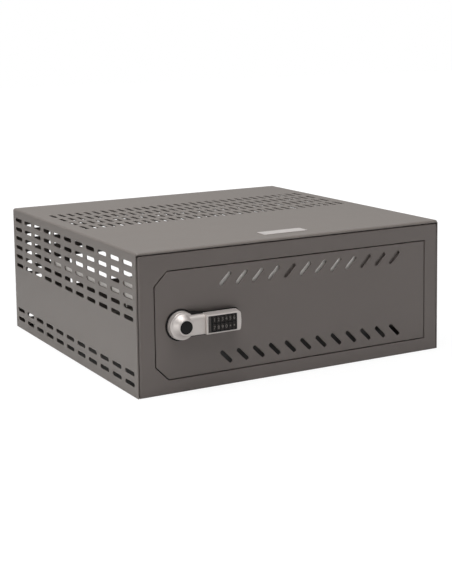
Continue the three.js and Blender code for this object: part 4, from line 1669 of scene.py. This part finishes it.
    def build(self, nodes: dict[str, bpy.types.Object]) -> None:
        """Builds and places the lock's pieces.

        Args:
            nodes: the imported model's nodes by name.
        """
        pieces = [
            (self.gasket(), "rose_gasket", "door", "black_plastic", "lock_rose", BLACK_PLASTIC),
            (self.rose(), "rose_disc", "door", "satin_chrome", "lock_rose", SATIN_CHROME),
            (self.ring(*self.nut_washer), "nut_washer", "door", "zinc", "lock_washer", ZINC_PLATE),
            (self.nut(), "hex_nut", "door", "zinc", "lock_nut", ZINC_PLATE),
            (self.lever(), "lever_casting", "lever", "satin_chrome", "lever_handle", SATIN_CHROME),
            (self.cap(), "collar_cap", "lever", "black_plastic", "hub_cap", BLACK_PLASTIC),
            # The keypad's paler strip takes the painted sheen.
            (self.keypad_plate(), "keypad_face", "lever", "black_plastic", "keypad_plate", BLACK_PLASTIC, SHEEN_STRIP_PLASTIC),
            (self.back_cover(), "housing_back", "lever", "black_plastic", "battery_cover", BLACK_PLASTIC),
            (self.cam(), "cam_blade", "lever", "zinc", "cam_tongue", ZINC_PLATE),
            (self.ring(*self.cam_washer), "bolt_washer", "lever", "zinc", "cam_washer", ZINC_PLATE),
            (self.cam_bolt(), "hex_bolt", "lever", "zinc", "cam_bolt", ZINC_PLATE),
        ]
        for number, (place, mark) in enumerate(zip(self.key_places(), [*"1234567890", "", ""]), 1):
            name = f"key_{number:02d}"
            pieces.append((self.key(place, mark), f"{name}_cap", name, "key_rubber", name, KEY_RUBBER, KEY_PRINT))
        for shape, *rest in pieces:
            self.fit(shape.move(self.axis), *rest)
        self.dress(nodes["spindle"], ZINC_PLATE)
        self.dress(nodes["keypad_board"], BOARD_MASK)
        self.dress(nodes["battery_cell"], NICKEL_CELL)


@dataclass
class Studio:
    """Camera, floor, backdrop and lights."""

    camera_place: Sequence[float] = (-0.8264, -1.5354, 0.4467)
    azimuth: float = 28.7816
    down: float = 6.9892
    roll: float = -0.7978
    lens: float = 76.7213
    shift: float = -0.2
    floor_size: float = 14.0
    shadow_reach: float = 0.9
    shadow_share: float = 0.25

    def camera(self) -> None:
        """Makes the camera at the photograph's angle."""
        data = bpy.data.cameras.new("camera")
        data.sensor_fit, data.sensor_width = "AUTO", 36.0
        data.lens, data.shift_y = self.lens, self.shift
        data.clip_start, data.clip_end = 0.05, 50.0
        a, e = math.radians(self.azimuth), math.radians(self.down)
        ahead = Vector((math.sin(a) * math.cos(e), math.cos(a) * math.cos(e), -math.sin(e)))
        made = self.stand(data, self.camera_place, ahead)
        made.matrix_world = made.matrix_world @ Matrix.Rotation(math.radians(self.roll), 4, "Z")
        bpy.context.scene.camera = made

    def stand(self, data: bpy.types.ID, place: Sequence[float], ahead: Vector) -> bpy.types.Object:
        """Returns a camera or lamp at a place, which looks along a direction.

        Args:
            data: the camera or light.
            place: where it stands.
            ahead: the direction.

        Returns:
            The object.
        """
        made = link(data.name, data)
        made.matrix_world = Matrix.Translation(place) @ ahead.to_track_quat("-Z", "Y").to_matrix().to_4x4()
        return made

    def floor(self) -> None:
        """Makes the pale floor: white where it is seen, with a soft shadow that ends a little way from the object."""
        half = self.floor_size / 2 / MM
        made = Shape().rectangle(-half, half, -half, half).place(Facing.TOP, -0.4).finish("floor")
        material = bpy.data.materials.new("pale_floor")
        graph = ShaderGraph(material)
        paint = graph.node("ShaderNodeBsdfDiffuse", None, {"Color": (0.82, 0.82, 0.82)})
        glow = graph.node("ShaderNodeEmission", None, {"Color": (1, 1, 1), "Strength": 1.1})
        path = graph.node("ShaderNodeLightPath", output="Is Camera Ray")
        place = graph.position((1 / self.shadow_reach,) * 3)
        near = graph.node("ShaderNodeTexGradient", {"gradient_type": "SPHERICAL"}, {"Vector": place}, output="Fac")
        seen = path * (1 - near * self.shadow_share)
        mixed = graph.node("ShaderNodeMixShader", None, {0: seen, 1: paint, 2: glow})
        graph.node("ShaderNodeOutputMaterial", None, {"Surface": mixed})
        made.data.materials.append(material)

    def world(self, level: float, mirrored: float) -> None:
        """Makes the world: white where it is seen, and dim elsewhere.

        Args:
            level: strength of its soft light.
            mirrored: strength of what the object's surfaces mirror of it.
        """
        world = bpy.data.worlds.new("studio")
        bpy.context.scene.world = world
        graph = ShaderGraph(world)
        camera, glossy, through = [
            graph.node("ShaderNodeLightPath", output=f"Is {kind} Ray") for kind in ("Camera", "Glossy", "Transmission")
        ]
        soft, sheen, white = [
            graph.node("ShaderNodeBackground", None, {"Color": (1, 1, 1), "Strength": strength})
            for strength in (level, mirrored, 1.0)
        ]
        unseen = graph.node("ShaderNodeMixShader", None, {0: glossy, 1: soft, 2: sheen})
        mixed = graph.node("ShaderNodeMixShader", None, {0: camera + through, 1: unseen, 2: white})
        graph.node("ShaderNodeOutputWorld", None, {"Surface": mixed})

    def lamp(self, name: str, place: Sequence[float], aim: Sequence[float], size: float, power: float) -> None:
        """Makes a soft square lamp.

        Args:
            name: the lamp's name.
            place: where it stands.
            aim: the point that it is turned to.
            size: the length of its sides.
            power: its power in watts.
        """
        data = bpy.data.lights.new(name, "AREA")
        data.shape, data.size, data.energy = "SQUARE", size, power
        self.stand(data, place, Vector(aim) - Vector(place))

    def build(self) -> None:
        """Sets the whole studio up."""
        self.camera()
        self.floor()
        self.world(level=0.01, mirrored=0.37)
        self.lamp("top_lamp", (-0.3, 0.3, 2.2), (0, 0, 0.1), 1.8, 34.0)
        self.lamp("front_lamp", (-0.4, -1.0, 2.2), (0, 0, 0.1), 1.4, 24.0)
        self.lamp("side_lamp", (-1.5, -0.2, 0.12), (-0.2, 0, 0.03), 0.6, 4.5)
        self.lamp("low_lamp", (1.1, -1.0, 0.08), (0, -0.2, 0.03), 0.5, 1.3)
        bpy.context.scene.view_settings.view_transform = "Standard"


def main() -> None:
    """Builds the object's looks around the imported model."""
    logging.basicConfig(level=logging.INFO, format="%(name)s: %(message)s")
    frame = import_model()
    Studio().build()
    door = Door()
    Case().build(door)
    door.build(frame["nodes"])
    Lock().build(frame["nodes"])


if __name__ == "__main__":
    main()
